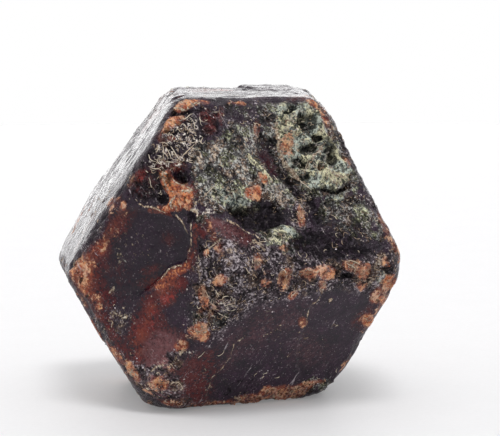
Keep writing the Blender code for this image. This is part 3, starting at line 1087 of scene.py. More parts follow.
@dataclass
class Fibres:
    """Thin pale threads lying on the skin: those of the front listed one by one, and others by chance."""

    half_width_mm: float = 0.05
    chance_count: int = 1000
    chance_length_mm: tuple[float, float] = (0.25, 1.0)
    lift_mm: float = 0.02
    rings: int = 6
    sides: int = 4
    seed: int = 33

    def front_paths(self, skin: CrystalSkin, rng: np.random.Generator) -> Array:
        """Finds the places on the skin under the listed threads.

        Args:
            skin: the finished skin.
            rng: the source of chance, which makes them a little uneven.

        Returns:
            Places, (k, rings, 3).
        """
        ways = np.linspace(0, 1, self.rings)
        flat = np.array([
            [np.interp(ways, np.linspace(0, 1, len(line) // 2), line[axis::2]) for axis in (0, 1)]
            for line in FRONT_FIBRES
        ]).transpose(0, 2, 1).reshape(-1, 2)
        flat += rng.normal(0.0, 0.55, flat.shape)
        seen = np.flatnonzero(skin.front > 0.5)
        pixels = SIGHT.pixels(skin.points[seen])
        number = seen[[np.linalg.norm(pixels - place, axis=1).argmin() for place in flat]]
        lifted = skin.points[number] + skin.normals[number] * self.lift_mm * MM
        return lifted.reshape(len(FRONT_FIBRES), self.rings, 3)

    def chance_paths(self, skin: CrystalSkin, rng: np.random.Generator) -> Array:
        """Lays threads by chance on rough skin, each bent evenly by 1 - 4 w**2 at the way w along it.

        Args:
            skin: the finished skin.
            rng: the source of chance.

        Returns:
            Places, (k, rings, 3).
        """
        cover = skin.covers
        plenty = 0.4 * cover["mica"] + 0.3 * cover["chlorite"] + 2.0 * cover["lace"] ** 2
        start = skin.scatter(plenty * (1 - cover["smooth"]), self.chance_count, rng)
        axes = tilted_axes(skin.normals[start], 0.0, rng)
        least, most = self.chance_length_mm
        length = (least + rng.random((self.chance_count, 1)) ** 2 * (most - least)) * MM
        way = np.linspace(-0.5, 0.5, self.rings)
        bow = rng.uniform(-0.8, 0.8, (self.chance_count, 1)) * (1 - 4 * way**2) * length
        free = skin.points[start][:, None] + (way * length)[..., None] * axes[:, None, 0]
        free = (free + bow[..., None] * axes[:, None, 1]).reshape(-1, 3)
        squares = np.sum(skin.points**2, axis=1)
        parts = np.array_split(free, len(free) // 100)
        number = np.concatenate([(squares - 2 * part @ skin.points.T).argmin(axis=1) for part in parts])
        depth = np.sum((free - skin.points[number]) * skin.normals[number], axis=1)
        lifted = free + skin.normals[number] * (self.lift_mm * MM - depth)[:, None]
        return lifted.reshape(-1, self.rings, 3)

    def make(self, skin: CrystalSkin, material: Material) -> None:
        """Carries a small ring along every path, thinner towards its ends, and closes both ends.

        A ring's corners lie round the path's direction at even angles t, at w (a cos t + b sin t), where a
        and b are square to the direction, and w is the half width, less 0.7 of it by the fourth power of
        the way from the middle.

        Args:
            skin: the finished skin.
            material: the threads' finish.
        """
        rng = np.random.default_rng(self.seed)
        paths = np.concatenate((self.front_paths(skin, rng), self.chance_paths(skin, rng)))
        paths[:, 1:-1] = (paths[:, :-2] + 2 * paths[:, 1:-1] + paths[:, 2:]) / 4
        along = unit(np.gradient(paths, axis=1) + 1e-9)
        first = unit(np.cross(along, (0.31, 0.29, 0.91)))
        second = np.cross(along, first)
        taper = 1.0 - 0.7 * np.linspace(-1, 1, self.rings) ** 4
        width = rng.uniform(0.4, 1.1, (len(paths), self.rings)) * taper * self.half_width_mm * MM
        width[: len(FRONT_FIBRES)] *= 1.35
        n = self.sides
        angle = np.arange(n)[:, None] * math.tau / n
        ring = np.cos(angle) * first[:, :, None] + np.sin(angle) * second[:, :, None]
        points = (paths[:, :, None] + ring * width[..., None, None]).reshape(len(paths), -1, 3)
        tube = [
            [r * n + i, r * n + (i + 1) % n, (r + 1) * n + (i + 1) % n, (r + 1) * n + i]
            for r in range(self.rings - 1) for i in range(n)
        ]
        caps = [list(range(n))[::-1], [(self.rings - 1) * n + i for i in range(n)]]
        shade = rng.random(len(paths))
        shade[: len(FRONT_FIBRES)] = 1.0 - 0.3 * shade[: len(FRONT_FIBRES)]
        make_bodies("pale_fibres", points, [*tube, *caps], shade, material, smooth=True)


# --- Shader nodes -----------------------------------------------------------------------------------------


class Graph:
    """Adds nodes to one tree and joins them."""

    def __init__(self, tree: Tree) -> None:
        """Works on the given tree."""
        self.tree = tree

    def put(self, socket: Socket, value: object) -> None:
        """Joins a socket to another, or sets its own value."""
        if isinstance(value, Socket):
            self.tree.links.new(value, socket)
        else:
            socket.default_value = value

    def node(self, kind: str, inputs: dict[int | str, object] | None = None, **settings: object) -> Node:
        """Adds a node.

        Args:
            kind: the node's type, without the word ShaderNode.
            inputs: values or sockets by input name or number.
            settings: the node's own properties.

        Returns:
            The node.
        """
        made = self.tree.nodes.new("ShaderNode" + kind)
        for name, value in settings.items():
            setattr(made, name, value)
        for key, value in (inputs or {}).items():
            self.put(made.inputs[key], value)
        return made

    def math(self, operation: str, *values: object, clamp: bool = False) -> Socket:
        """One sum, product or other operation on numbers."""
        return self.node("Math", dict(enumerate(values)), operation=operation, use_clamp=clamp).outputs[0]

    def times(self, *values: object) -> Socket:
        """The product of two or more numbers."""
        return reduce(partial(self.math, "MULTIPLY"), values)

    def most(self, *values: object) -> Socket:
        """The greatest of two or more numbers."""
        return reduce(partial(self.math, "MAXIMUM"), values)

    def total(self, start: object, *parts: tuple[Socket, float]) -> Socket:
        """A number to start from, plus each value times its share."""
        return reduce(lambda so_far, part: self.math("MULTIPLY_ADD", *part, so_far), parts, start)

    def rest(self, value: object) -> Socket:
        """One less a number."""
        return self.math("SUBTRACT", 1.0, value)

    def blend(self, amount: object, below: object, above: object) -> Socket:
        """Lays one colour over another. Colours are sockets or red, green and blue."""
        below, above = ((*c, 1.0) if isinstance(c, tuple) else c for c in (below, above))
        inputs = {0: amount, 6: below, 7: above}
        return self.node("Mix", inputs, data_type="RGBA", clamp_factor=True).outputs[2]

    def step(self, value: Socket, low: object, high: float, start: float = 0.0, end: float = 1.0) -> Socket:
        """A smooth step from start at low to end at high."""
        inputs = dict(enumerate((value, low, high, start, end)))
        return self.node("MapRange", inputs, interpolation_type="SMOOTHSTEP").outputs[0]

    def noise(
        self, place: Socket, scale: float, detail: float, rough: float = 0.5, bent: float = 0.0
    ) -> Socket:
        """Cloudy noise about one half."""
        inputs = {"Vector": place, "Scale": scale, "Detail": detail, "Roughness": rough, "Distortion": bent}
        return self.node("TexNoise", inputs).outputs[0]

    def attribute(self, name: str) -> Socket:
        """The mesh attribute of that name, as a number."""
        return self.node("Attribute", attribute_name=name).outputs["Fac"]

    def vector(self, operation: str, *values: object, **more: object) -> Socket:
        """One operation on vectors."""
        made = self.node("VectorMath", {**dict(enumerate(values)), **more}, operation=operation)
        return made.outputs["Value" if operation == "DOT_PRODUCT" else "Vector"]

    def stretched(self, place: Socket, way: Socket, share: float) -> Socket:
        """Coordinates pressed together along one way, so that a pattern on them is drawn out along it.

        Args:
            place: the coordinates.
            way: a unit vector.
            share: what is left of the coordinate along it.

        Returns:
            place less (1 - share) of its part along the way.
        """
        along = self.vector("DOT_PRODUCT", place, way)
        part = self.vector("SCALE", way, Scale=self.math("MULTIPLY", along, share - 1.0))
        return self.vector("ADD", place, part)

    def warped(self, place: Socket, scale: float, reach: float) -> Socket:
        """Coordinates pushed about by noise of a given scale, by up to half the reach."""
        noise = self.node("TexNoise", {"Vector": place, "Scale": scale, "Detail": 2.0})
        shift = self.vector("SUBTRACT", noise.outputs["Color"], (0.5, 0.5, 0.5))
        return self.vector("MULTIPLY_ADD", shift, (reach, reach, reach), place)

    def cells(self, place: Socket, **settings: str) -> list[Socket]:
        """Cells about one wide: the distance to a cell's middle, and its chance numbers as a colour."""
        return list(self.node("TexVoronoi", {"Vector": place, "Scale": 1.0}, **settings).outputs)

    def split(self, colour: Socket) -> list[Socket]:
        """The three numbers in a colour."""
        return list(self.node("SeparateColor", {0: colour}).outputs)

    def use(self, group: Tree, place: Socket, size: float, **inputs: object) -> list[Socket]:
        """Places a node group with its own values, and gives its outputs in order."""
        made = self.node("Group", {"Vector": place, "Size": size}, node_tree=group)
        for name, value in inputs.items():
            self.put(made.inputs[name], value)
        return list(made.outputs)


class Group(Graph):
    """A node group while it is made. Every group has the inputs Vector, in millimetres, and Size."""

    def __init__(self, name: str, **inputs: float) -> None:
        """Makes the tree and its inputs, and divides the vector by the size.

        Args:
            name: the group's name.
            inputs: default values of its further inputs, by name.
        """
        super().__init__(bpy.data.node_groups.new(name, "ShaderNodeTree"))
        for label, value in {"Vector": (0.0, 0.0, 0.0), "Size": 1.0, **inputs}.items():
            self.socket(label, "INPUT", label == "Vector").default_value = value
        self.given = self.tree.nodes.new("NodeGroupInput").outputs
        size = self.math("DIVIDE", 1.0, self.given["Size"])
        self.place = self.vector("SCALE", self.given["Vector"], Scale=size)

    def socket(self, label: str, way: str, is_vector: bool) -> bpy.types.NodeTreeInterfaceSocket:
        """Adds an input or output to the group."""
        kind = "NodeSocketVector" if is_vector else "NodeSocketFloat"
        return self.tree.interface.new_socket(name=label, in_out=way, socket_type=kind)

    def finish(self, **outputs: Socket) -> Tree:
        """Makes the group's outputs.

        Args:
            outputs: their sources by name, all numbers but one called Normal.

        Returns:
            The finished tree.
        """
        for label in outputs:
            self.socket(label, "OUTPUT", label == "Normal")
        out = self.tree.nodes.new("NodeGroupOutput")
        for label, value in outputs.items():
            self.put(out.inputs[label], value)
        return self.tree


@cache
def mottle_group() -> Tree:
    """Cloudy variation: layered noise, stretched about one half by Contrast.

    Returns:
        The group, which gives Value, from 0 to 1.
    """
    group = Group("mottle", Contrast=2.0)
    centred = group.math("SUBTRACT", group.noise(group.place, 1.0, 3.0, 0.6), 0.5)
    return group.finish(Value=group.math("MULTIPLY_ADD", centred, group.given["Contrast"], 0.5, clamp=True))


@cache
def ragged_group() -> Tree:
    """Turns a soft Cover into a mask with ragged outline and gaps: a steep step over the cover plus noise.

    Returns:
        The group, which gives Mask, from 0 to 1, and Rim, the mask's part just inside its outline.
    """
    group = Group("ragged", Cover=0.0, Ragged=2.5)
    centred = group.math("SUBTRACT", group.noise(group.place, 1.0, 4.0, 0.7), 0.5)
    level = group.math("MULTIPLY_ADD", centred, group.given["Ragged"], group.given["Cover"])
    mask = group.times(group.step(level, 0.38, 0.62), group.step(group.given["Cover"], 0.0, 0.12))
    return group.finish(Mask=mask, Rim=group.times(mask, group.step(level, 1.0, 0.6)))


@cache
def flecks_group() -> Tree:
    """Small uneven spots, each present by chance.

    Space is warped by noise and split into cells. A cell carries a spot round its middle if its chance
    number is under the Amount.

    Returns:
        The group, which gives Mask and Chance, a number of each spot's own.
    """
    group = Group("flecks", Amount=0.2)
    distance, colour, *_ = group.cells(group.warped(group.place, 0.9, 1.5))
    chance = group.split(colour)
    present = group.step(group.math("SUBTRACT", group.given["Amount"], chance[0]), 0.0, 0.05)
    return group.finish(Mask=group.times(present, group.step(distance, 0.55, 0.35)), Chance=chance[1])


@cache
def threads_group() -> Tree:
    """Fine curling lines of a Width, broken into short pieces.

    They lie where noise is near one half, and more noise keeps an Amount of them.

    Returns:
        The group, which gives Mask, from 0 to 1.
    """
    group = Group("threads", Width=0.03, Amount=0.5)
    lines_noise = group.noise(group.place, 1.0, 2.0, 0.5, 0.6)
    middle = group.math("ABSOLUTE", group.math("SUBTRACT", lines_noise, 0.5))
    level = group.math("MULTIPLY_ADD", group.given["Amount"], -0.5, 0.75)
    kept = group.step(group.math("SUBTRACT", group.noise(group.place, 1.9, 2.0, 0.6), level), -0.02, 0.05)
    return group.finish(Mask=group.times(group.step(middle, group.given["Width"], 0.0), kept))


@cache
def wool_group() -> Tree:
    """A mat of curling fibres: bands where noise is near one half, at two sizes, some brighter than others.

    Returns:
        The group, which gives Value, from 0 between the fibres to 1 on the brightest.
    """
    group = Group("wool")
    strands = []
    for scale, width, weight in ((1.0, 0.17, 1.0), (2.2, 0.20, 0.7)):
        strand = group.math("SUBTRACT", group.noise(group.place, scale, 1.0, 0.5, 0.9), 0.5)
        strands.append(group.times(group.step(group.math("ABSOLUTE", strand), width, 0.0), weight))
    light = group.step(group.noise(group.place, 0.8, 2.0, 0.6), 0.3, 0.7, 0.25, 1.0)
    return group.finish(Value=group.times(group.most(*strands), light))


@cache
def pores_group() -> Tree:
    """A network of walls round pores: bands of a Width where two cells of warped space meet.

    Returns:
        The group, which gives Wall and Chance, a number of each pore's own.
    """
    group = Group("pores", Width=0.16)
    place = group.warped(group.place, 1.3, 1.6)
    border = group.cells(place, feature="DISTANCE_TO_EDGE")[0]
    wall = group.step(border, group.given["Width"], 0.0)
    return group.finish(Wall=wall, Chance=group.split(group.cells(place)[1])[0])


@cache
def facets_group() -> Tree:
    """The normal, tilted by chance up to a Tilt in each small cell, so that single chips catch light.

    Returns:
        The group, which gives Normal.
    """
    group = Group("facets", Tilt=0.5)
    chance = group.cells(group.warped(group.place, 0.9, 1.2))[1]
    lean = group.vector("SUBTRACT", chance, (0.5, 0.5, 0.5))
    lean = group.vector("SCALE", lean, Scale=group.given["Tilt"])
    leant = group.vector("ADD", group.node("NewGeometry").outputs["Normal"], lean)
    return group.finish(Normal=group.vector("NORMALIZE", leant))


# --- Finishes ---------------------------------------------------------------------------------------------


@dataclass(frozen=True)
class Tones:
    """A finish's dark, middle and light colours, and its roughness."""

    dark: Colour
    middle: Colour
    light: Colour
    roughness: float


GARNET = Tones((0.006, 0.002, 0.008), (0.019, 0.005, 0.018), (0.050, 0.019, 0.045), 0.32)
RED_GARNET = Tones((0.014, 0.001, 0.004), (0.085, 0.006, 0.007), (0.27, 0.022, 0.015), 0.26)
# Painted light: the colours of light shining through thin garnet.
GLOW_GARNET = Tones((0.035, 0.005, 0.005), (0.19, 0.030, 0.014), (0.82, 0.300, 0.115), 0.32)
VEIL = Tones((0.040, 0.014, 0.018), (0.15, 0.050, 0.055), (0.38, 0.19, 0.18), 0.40)
RUST = Tones((0.120, 0.020, 0.012), (0.52, 0.150, 0.065), (0.97, 0.56, 0.36), 0.60)
OCHRE = Tones((0.110, 0.016, 0.008), (0.56, 0.120, 0.036), (0.98, 0.47, 0.22), 0.60)
CHLORITE = Tones((0.008, 0.007, 0.009), (0.090, 0.084, 0.082), (0.76, 0.75, 0.71), 0.50)
MOSS = Tones((0.009, 0.009, 0.005), (0.115, 0.112, 0.060), (0.84, 0.86, 0.58), 0.50)
LOAM = Tones((0.012, 0.006, 0.005), (0.130, 0.074, 0.050), (0.84, 0.66, 0.50), 0.50)
PORE_CRUST = Tones((0.012, 0.018, 0.015), (0.175, 0.180, 0.125), (0.99, 0.94, 0.64), 0.70)
COOL_CRUST = Tones((0.008, 0.014, 0.015), (0.085, 0.105, 0.095), (0.70, 0.76, 0.66), 0.70)
MICA = Tones((0.008, 0.005, 0.008), (0.062, 0.038, 0.050), (0.80, 0.70, 0.74), 0.24)
LACE = Tones((0.10, 0.06, 0.07), (0.42, 0.32, 0.31), (0.95, 0.88, 0.78), 0.50)
PALE = Tones((0.20, 0.12, 0.08), (0.52, 0.38, 0.26), (0.95, 0.86, 0.70), 0.70)
SATIN_RIB = (0.16, 0.13, 0.14)  # a lighter colour laid on the tops of the belt's fine grooves
PIT_SHADE = (0.004, 0.003, 0.004)  # painted shade: the near-black colour laid in hollows, gaps and grooves


def start_material(name: str, roughness: float) -> tuple[Material, Graph, Node, Socket]:
    """Starts a material with one Principled shader.

    Args:
        name: the material's name.
        roughness: the shader's roughness until something is joined to it.

    Returns:
        The material, its graph, its shader, and the object's coordinates in millimetres.
    """
    material = bpy.data.materials.new(name)
    material.use_nodes = True
    graph = Graph(material.node_tree)
    shader = material.node_tree.nodes["Principled BSDF"]
    shader.inputs["Roughness"].default_value = roughness
    shader.inputs["IOR"].default_value = 1.42
    place = graph.node("TexCoord").outputs["Object"]
    in_mm = graph.node("Mapping", {"Vector": place, "Scale": (1 / MM,) * 3}).outputs[0]
    return material, graph, shader, in_mm


@dataclass
class SkinFinish:
    """The weathered skin: garnet, and over it every other finish where the skin's marks say so."""

    bump_mm: float = 0.16

    def __post_init__(self) -> None:
        """Starts the material, reads the skin's marks, and lays out the textures and masks layers share."""
        self.material, self.graph, self.shader, self.place = start_material("garnet_skin", GARNET.roughness)
        graph, times = self.graph, self.graph.times
        self.cover = {finish: graph.attribute(finish.value) for finish in Finish}
        self.belt, self.clean = graph.attribute("belt"), graph.rest(self.cover[Finish.SMOOTH])
        along = graph.node("Attribute", attribute_name="along").outputs["Vector"]
        self.drawn, self.combed = (graph.stretched(self.place, along, share) for share in (0.16, 0.55))
        self.fine, self.small = self.cloud(0.30, 3.6), self.cloud(0.8, 3.4)
        self.patches, self.streaks = self.cloud(2.4, 4.0), self.cloud(0.42, 4.4, self.drawn)
        self.wool, self.mat = self.fibrous(0.60), self.fibrous(0.58, self.combed)
        self.lace, self.curls = self.fibrous(1.05), self.fibrous(0.50)
        self.green, _ = self.ragged(Finish.CHLORITE, 1.6, 2.4)
        self.rust, self.rust_rim = self.ragged(Finish.RUST, 0.8, 3.3)
        self.crust, _ = self.ragged(Finish.CRUST, 1.3, 2.2)
        self.hollow, _ = self.ragged(Finish.HOLLOW_SHADE, 0.8, 1.9)
        self.pale, _ = self.ragged(Finish.PALE, 0.5, 2.4)
        worn, _ = self.ragged(Finish.MICA, 1.8, 2.2)
        self.mica = times(worn, self.clean)
        webbed, _ = self.ragged(Finish.LACE, 1.0, 2.4)
        self.lit = times(graph.most(webbed, times(self.rust, 0.14)), graph.step(self.curls, 0.40, 0.75))
        wall, chance = graph.use(pores_group(), self.place, 1.15, Width=0.22)
        self.pocket = times(graph.step(wall, 0.5, 0.0), graph.step(chance, 0.45, 0.55))
        some = graph.total(0.12, (self.clean, 0.15))
        self.scratch, = graph.use(threads_group(), self.drawn, 1.5, Width=0.028, Amount=some)

    def ragged(self, finish: Finish, size: float, amount: float) -> list[Socket]:
        """The finish's cover with a ragged outline of a given grain, and the rim inside that outline."""
        return self.graph.use(ragged_group(), self.place, size, Cover=self.cover[finish], Ragged=amount)

    def cloud(self, size: float, contrast: float, place: Socket | None = None) -> Socket:
        """Cloudy variation of a given grain, from 0 to 1."""
        return self.graph.use(mottle_group(), place or self.place, size, Contrast=contrast)[0]

    def fibrous(self, size: float, place: Socket | None = None) -> Socket:
        """How bright a mat of fibres is."""
        return self.graph.use(wool_group(), place or self.place, size)[0]

    def tones(self, tones: Tones, level: Socket) -> Socket:
        """A finish's colour at a level: dark at 0, middle at one half and light at 1."""
        lower = self.graph.blend(self.graph.step(level, 0.0, 0.5), tones.dark, tones.middle)
        return self.graph.blend(self.graph.step(level, 0.5, 1.0), lower, tones.light)

    def lay(self, amount: Socket, above: object) -> None:
        """Lays a colour over what is there."""
        self.colour = self.graph.blend(amount, self.colour, above)

    def stain(self, finish: Finish, tones: Tones, *grain: object) -> None:
        """Colours the depth of the garnet: the stronger the mark, the lighter the colour.

        Args:
            finish: whose mark it is.
            tones: its colours.
            grain: the variation in it, as the parts of a total.
        """
        level = self.graph.total(0.35, (self.graph.total(*grain), 1.0))
        level = self.graph.times(self.cover[finish], level)
        self.lay(self.graph.step(level, 0.03, 0.40), self.tones(tones, level))

    def fleck(self, tones: Tones, size: float, amount: object) -> None:
        """Lays flecks from a finish's middle to its light colour.

        Args:
            tones: the flecks' colours.
            size: their size in millimetres.
            amount: the share of places that carry one.
        """
        mask, chance = self.graph.use(flecks_group(), self.place, size, Amount=amount)
        self.lay(mask, self.graph.blend(chance, tones.middle, tones.light))

    def lay_garnet(self) -> None:
        """Starts with the garnet itself, dark, red or veiled, and where it glows, painted light shining
        through thin garnet.
        """
        fine, small, patches = self.fine, self.small, self.patches
        grain = self.graph.total(0.0, (fine, 0.5), (small, 0.3), (self.streaks, 0.2))
        self.colour = self.tones(GARNET, self.graph.total(-0.05, (grain, 0.6), (patches, 0.4)))
        self.stain(Finish.RED, RED_GARNET, -0.40, (grain, 1.2), (patches, 0.55))
        self.stain(Finish.GLOW, GLOW_GARNET, -0.40, (grain, 1.4), (patches, 0.35))
        self.stain(Finish.PINK, VEIL, -0.12, (patches, 0.3), (small, 0.5), (fine, 0.45))

    def lay_ground(self) -> None:
        """Lays the rough ground and the chlorite, with browner or greener patches, and flecks on both."""
        graph, cover, fine, patches = self.graph, self.cover, self.fine, self.patches
        lift = graph.step(cover[Finish.MICA], 0.2, 1.0, 0.5, 0.9)
        level = graph.total(
            -0.36, (graph.times(self.wool, lift), 0.50), (fine, 0.55), (self.small, 0.34), (patches, 0.40))
        browner = graph.step(self.cloud(2.6, 5.0), 0.62, 1.0)
        ground = graph.blend(browner, self.tones(MICA, level), self.tones(LOAM, level))
        self.lay(graph.times(self.mica, 0.9), ground)
        lift = graph.step(cover[Finish.CHLORITE], 0.4, 1.1, 0.45, 1.05)
        level = graph.total(-0.37, (graph.times(self.mat, lift), 1.25), (patches, 0.42), (fine, 0.42))
        tint = self.cloud(1.9, 5.0)
        grey, greener, brown = (self.tones(tones, level) for tones in (CHLORITE, MOSS, LOAM))
        moss = graph.blend(graph.step(tint, 0.55, 0.85), grey, greener)
        self.lay(self.green, graph.blend(graph.step(tint, 0.40, 0.10), moss, brown))
        self.fleck(CHLORITE, 0.22, graph.times(self.green, graph.total(0.10, (patches, 0.75))))
        # Pale mica flecks, partly the mica's own colour and partly painted glints.
        plenty = graph.times(cover[Finish.MICA], graph.total(0.02, (patches, 0.42)))
        self.fleck(MICA, 0.24, graph.total(0.0, (plenty, 1.0), (self.clean, 0.015)))

    def lay_rust(self) -> None:
        """Lays scaly rust in a darker halo, with a pale woolly rim."""
        graph = self.graph
        clumps = self.cloud(0.85, 5.0, self.combed)
        flaky = graph.total(-0.19, (clumps, 0.90), (self.small, 0.40), (self.fine, 0.26), (self.wool, 0.26))
        deep = graph.step(self.cloud(1.4, 5.0), 0.15, 0.55)
        near = graph.step(self.cover[Finish.RUST], 0.04, 0.50)
        halo = graph.times(near, graph.total(0.25, (self.patches, 0.45)))
        self.lay(halo, self.tones(OCHRE, graph.times(flaky, 0.55)))
        scaly = graph.times(self.rust, graph.total(0.60, (graph.step(self.mat, 0.15, 0.50), 0.40)))
        self.lay(scaly, graph.blend(deep, self.tones(RUST, flaky), self.tones(OCHRE, flaky)))
        self.lay(graph.times(self.rust_rim, self.wool, 0.35), PALE.light)

    def lay_crust(self) -> None:
        """Lays the porous crust, in a warm and a cool green, with painted shade in its pockets, where no
        rust is.
        """
        graph = self.graph
        web = graph.total(
            -0.28, (self.lace, 1.10), (self.patches, 0.60), (self.fine, 0.30), (self.wool, 0.60))
        cool = graph.step(self.cloud(2.1, 5.0), 0.30, 0.70)
        ruffle = graph.blend(cool, self.tones(PORE_CRUST, web), self.tones(COOL_CRUST, web))
        # Painted shade: the darkest crust colour laid in the pockets between the pore walls.
        ruffle = graph.blend(graph.times(self.pocket, 0.8), ruffle, PORE_CRUST.dark)
        self.lay(graph.times(self.crust, graph.total(1.0, (self.rust, -0.75))), ruffle)

    def lay_lines(self) -> None:
        """Lays pale lines, curls, specks that are partly painted glints, lighter colour on the belt's rib
        tops, and scratches, and painted shade in low places.
        """
        graph, fine = self.graph, self.fine
        self.lay(self.pale, self.tones(PALE, fine))
        self.lay(self.lit, self.tones(LACE, graph.total(-0.15, (self.curls, 1.0), (fine, 0.35))))
        self.fleck(PALE, 0.24, graph.total(0.012, (self.clean, 0.02)))
        # Pale specks of dust, partly painted glints.
        plenty = graph.total(0.08, (self.patches, 0.16))
        dust_and_glints, chance = graph.use(flecks_group(), self.place, 0.17, Amount=plenty)
        self.lay(graph.times(dust_and_glints, chance, 0.28), MICA.light)
        # Lighter colour on the tops of the belt's fine grooves.
        self.lay(graph.times(self.belt, graph.step(self.streaks, 0.50, 0.90), 0.38), SATIN_RIB)
        self.lay(graph.times(self.scratch, 0.55), MICA.light)
        # Painted shade: darker garnet colour where the relief is low.
        self.lay(graph.times(graph.step(graph.attribute("height"), 0.46, 0.10), 0.45), GARNET.dark)

    def paint_shade(self) -> None:
        """Paints shade: near-black colour in hollows, in gaps and crevices of the rough finishes and in the
        belt's grooves, with metal there so that they reflect little.
        """
        graph, wool, times = self.graph, self.wool, self.graph.times
        gap = graph.step(graph.total(0.0, (wool, 0.5), (self.fine, 0.5), (self.small, 0.15)), 0.32, 0.14)
        crevice, = graph.use(threads_group(), self.place, 2.8, Width=0.045, Amount=0.62)
        rough = graph.most(self.green, self.mica, self.crust)
        gap = times(graph.most(gap, crevice), rough, graph.rest(graph.most(self.rust, self.pale)))
        sunk = graph.most(times(self.hollow, graph.total(1.0, (wool, -0.55))), times(gap, 0.9))
        sunk = times(sunk, graph.total(1.0, (self.lit, -0.9)))
        sunk = graph.most(sunk, times(self.belt, graph.step(self.streaks, 0.26, 0.08), 0.50))
        # Painted shade: near-black colour, with metal so that little is reflected.
        self.lay(sunk, PIT_SHADE)
        graph.put(self.shader.inputs["Metallic"], times(sunk, 0.9))

    def roughen(self) -> None:
        """Sets roughness, by the same masks as the colours."""
        rough = self.graph.total(GARNET.roughness - 0.06, (self.fine, 0.12), (self.belt, -0.10))
        for amount, tones in (
            (self.cover[Finish.RED], RED_GARNET), (self.mica, MICA), (self.green, CHLORITE),
            (self.rust, RUST), (self.crust, PORE_CRUST), (self.pale, PALE),
        ):
            inputs = {0: amount, 2: rough, 3: tones.roughness}
            rough = self.graph.node("Mix", inputs, clamp_factor=True).outputs[0]
        self.graph.put(self.shader.inputs["Roughness"], rough)

    def emboss(self) -> None:
        """Sets the normal: small chips that lean by chance, under bumps from fibres, pores and lines."""
        graph, fine, times = self.graph, self.fine, self.graph.times
        weathered = graph.most(self.green, self.rust, self.mica, self.crust)
        height = graph.total(
            0.0, (times(fine, weathered), 0.8), (times(self.wool, graph.most(self.mica, self.crust)), 0.5),
            (times(self.lace, self.crust), 0.9), (times(self.mat, self.green), 0.7), (self.lit, 0.6),
            (times(self.pocket, self.crust), -1.4), (fine, 0.10), (times(self.streaks, self.belt), 0.62),
            (times(self.small, self.clean), 0.7), (self.scratch, 0.2), (self.pale, 0.5))
        flat = times(self.clean, graph.rest(self.belt))
        tilt = graph.total(0.05, (weathered, 0.35), (graph.most(self.mica, self.green), 0.25), (flat, 0.2))
        chips, = graph.use(facets_group(), self.place, 0.36, Tilt=tilt)
        inputs = {"Height": height, "Distance": self.bump_mm * MM, "Normal": chips}
        graph.put(self.shader.inputs["Normal"], graph.node("Bump", inputs).outputs[0])

    def make(self) -> Material:
        """Builds the material.

        Returns:
            The material, with its colours laid one over another.
        """
        self.lay_garnet()
        self.lay_ground()
        self.lay_rust()
        self.lay_crust()
        self.lay_lines()
        self.paint_shade()
        self.roughen()
        self.emboss()
        self.graph.put(self.shader.inputs["Base Color"], self.colour)
        return self.material


@dataclass(frozen=True)
class CrumbFinish:
    """Flakes, grains or fibres, each body with its own shade between a dark and a light colour."""

    name: str
    tones: Tones
    lit: float = 0.5  # from which chance number on a body goes lighter than the middle colour
    grain_mm: float = 0.25

    def make(self) -> Material:
        """Builds the material: a body's chance number picks its shade, and cloudy variation stains it.

        Returns:
            The material.
        """
        material, graph, shader, place = start_material(self.name, self.tones.roughness)
        chance = graph.attribute("chance")
        shade = graph.blend(graph.step(chance, 0.0, self.lit), self.tones.dark, self.tones.middle)
        shade = graph.blend(graph.step(chance, self.lit, 1.0), shade, self.tones.light)
        stain, = graph.use(mottle_group(), place, self.grain_mm, Contrast=3.0)
        shade = graph.blend(graph.times(stain, 0.5), shade, self.tones.middle)
        graph.put(shader.inputs["Base Color"], shade)
        bump = graph.node("Bump", {"Height": stain, "Distance": 0.03 * MM, "Strength": 0.8})
        graph.put(shader.inputs["Normal"], bump.outputs[0])
        return material


# --- The studio -------------------------------------------------------------------------------------------


@dataclass(frozen=True)
class SoftSun:
    """An even, far light with soft shadows."""

    name: str
    azimuth: float
    elevation: float
    strength: float
    spread: float  # the light's own width in degrees

    def make(self) -> None:
        """Makes the lamp."""
        data = bpy.data.lights.new(self.name, "SUN")
        data.energy, data.angle = self.strength, math.radians(self.spread)
        lamp = link(self.name, data)
        lamp.location = way_to(self.azimuth, self.elevation)
        lamp.rotation_euler = lamp.location.to_track_quat("Z", "Y").to_euler()


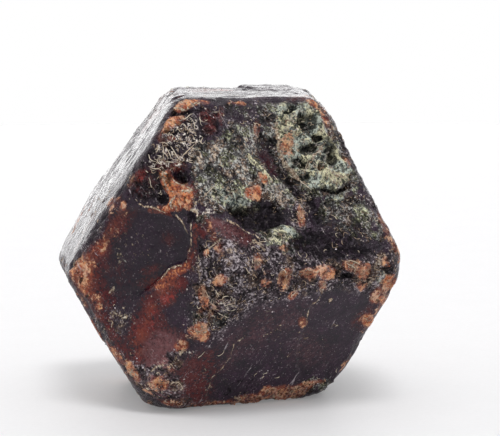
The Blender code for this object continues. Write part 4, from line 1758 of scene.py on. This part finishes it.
@dataclass(frozen=True)
class Studio:
    """A round pale table under soft light, against white, with the brightest wall behind."""

    radius: float = 0.42
    sides: int = 96
    floor_tone: Colour = (0.59, 0.585, 0.595)
    floor_glow: float = 0.175  # light that comes through the table from below
    dim: float = 0.50  # the light from the camera's side
    bright: float = 0.80  # and from behind
    overhead: float = 0.25  # more, from above
    glare: float = 2.3  # more, low down straight behind
    sun: SoftSun = SoftSun("light_above", 12.0, 74.0, 1.25, 24.0)

    def make_floor(self) -> None:
        """Makes the table: one flat face with its corners evenly round a circle."""
        angle = np.arange(self.sides) * math.tau / self.sides
        rim = np.stack((np.cos(angle), np.sin(angle), 0 * angle), axis=-1) * self.radius
        mesh = bpy.data.meshes.new("floor")
        mesh.from_pydata(rim.tolist(), [], [list(range(self.sides))])
        material, graph, shader, place = start_material("floor", 0.6)
        cloud, grain = graph.noise(place, 0.15, 3.0), graph.noise(place, 1.4, 2.0)
        level = graph.total(-0.25, (cloud, 0.5), (grain, 1.0))
        lighter = tuple(1.08 * part for part in self.floor_tone)
        graph.put(shader.inputs["Base Color"], graph.blend(level, self.floor_tone, lighter))
        shader.inputs["Emission Color"].default_value = (1.0, 1.0, 1.0, 1.0)
        shader.inputs["Emission Strength"].default_value = self.floor_glow
        mesh.materials.append(material)
        link("floor", mesh)

    def make_surroundings(self) -> None:
        """Makes the world: white to look at, and as a light brighter behind than in front."""
        world = bpy.data.worlds.new("surroundings")
        world.use_nodes = True
        graph = Graph(world.node_tree)
        way = graph.node("TexCoord").outputs["Generated"]
        _, depth, height = graph.node("SeparateXYZ", {0: way}).outputs
        wall = graph.step(depth, -0.3, 0.8, self.dim, self.bright)
        low = graph.times(graph.step(depth, 0.75, 0.95), graph.step(height, 0.5, 0.2))
        light = graph.total(wall, (low, self.glare), (graph.step(height, 0.4, 0.95), self.overhead))
        seen = graph.node("LightPath").outputs["Is Camera Ray"]
        background = world.node_tree.nodes["Background"]
        background.inputs["Color"].default_value = (1.0, 1.0, 1.0, 1.0)
        graph.put(background.inputs["Strength"], graph.node("Mix", {0: seen, 2: light, 3: 1.0}).outputs[0])
        bpy.context.scene.world = world
        bpy.context.scene.view_settings.view_transform = "Standard"

    def make(self) -> None:
        """Makes the table, the lamp and the white surroundings."""
        self.make_floor()
        self.sun.make()
        self.make_surroundings()


def main() -> None:
    """Builds the crystal and the studio."""
    logging.basicConfig(level=logging.INFO, format="%(name)s: %(message)s")
    SIGHT.make_camera()
    skin = CrystalSkin()
    skin.make(SkinFinish().make())
    # The palest quarter of the flakes are partly the mica's own colour and partly painted glints.
    MicaFlakes().make(skin, CrumbFinish("mica", MICA, 0.75).make())
    rust_finish = CrumbFinish("iron_crumbs", RUST, 0.6).make()
    crust_finish = CrumbFinish("green_crumbs", PORE_CRUST, 0.6).make()
    Grains("iron_grains", Finish.RUST, 800, (0.04, 0.16), 22).make(skin, rust_finish)
    Grains("crust_grains", Finish.CRUST, 450, (0.05, 0.17), 23).make(skin, crust_finish)
    Fibres().make(skin, CrumbFinish("fibre", PALE).make())
    Studio().make()


if __name__ == "__main__":
    main()
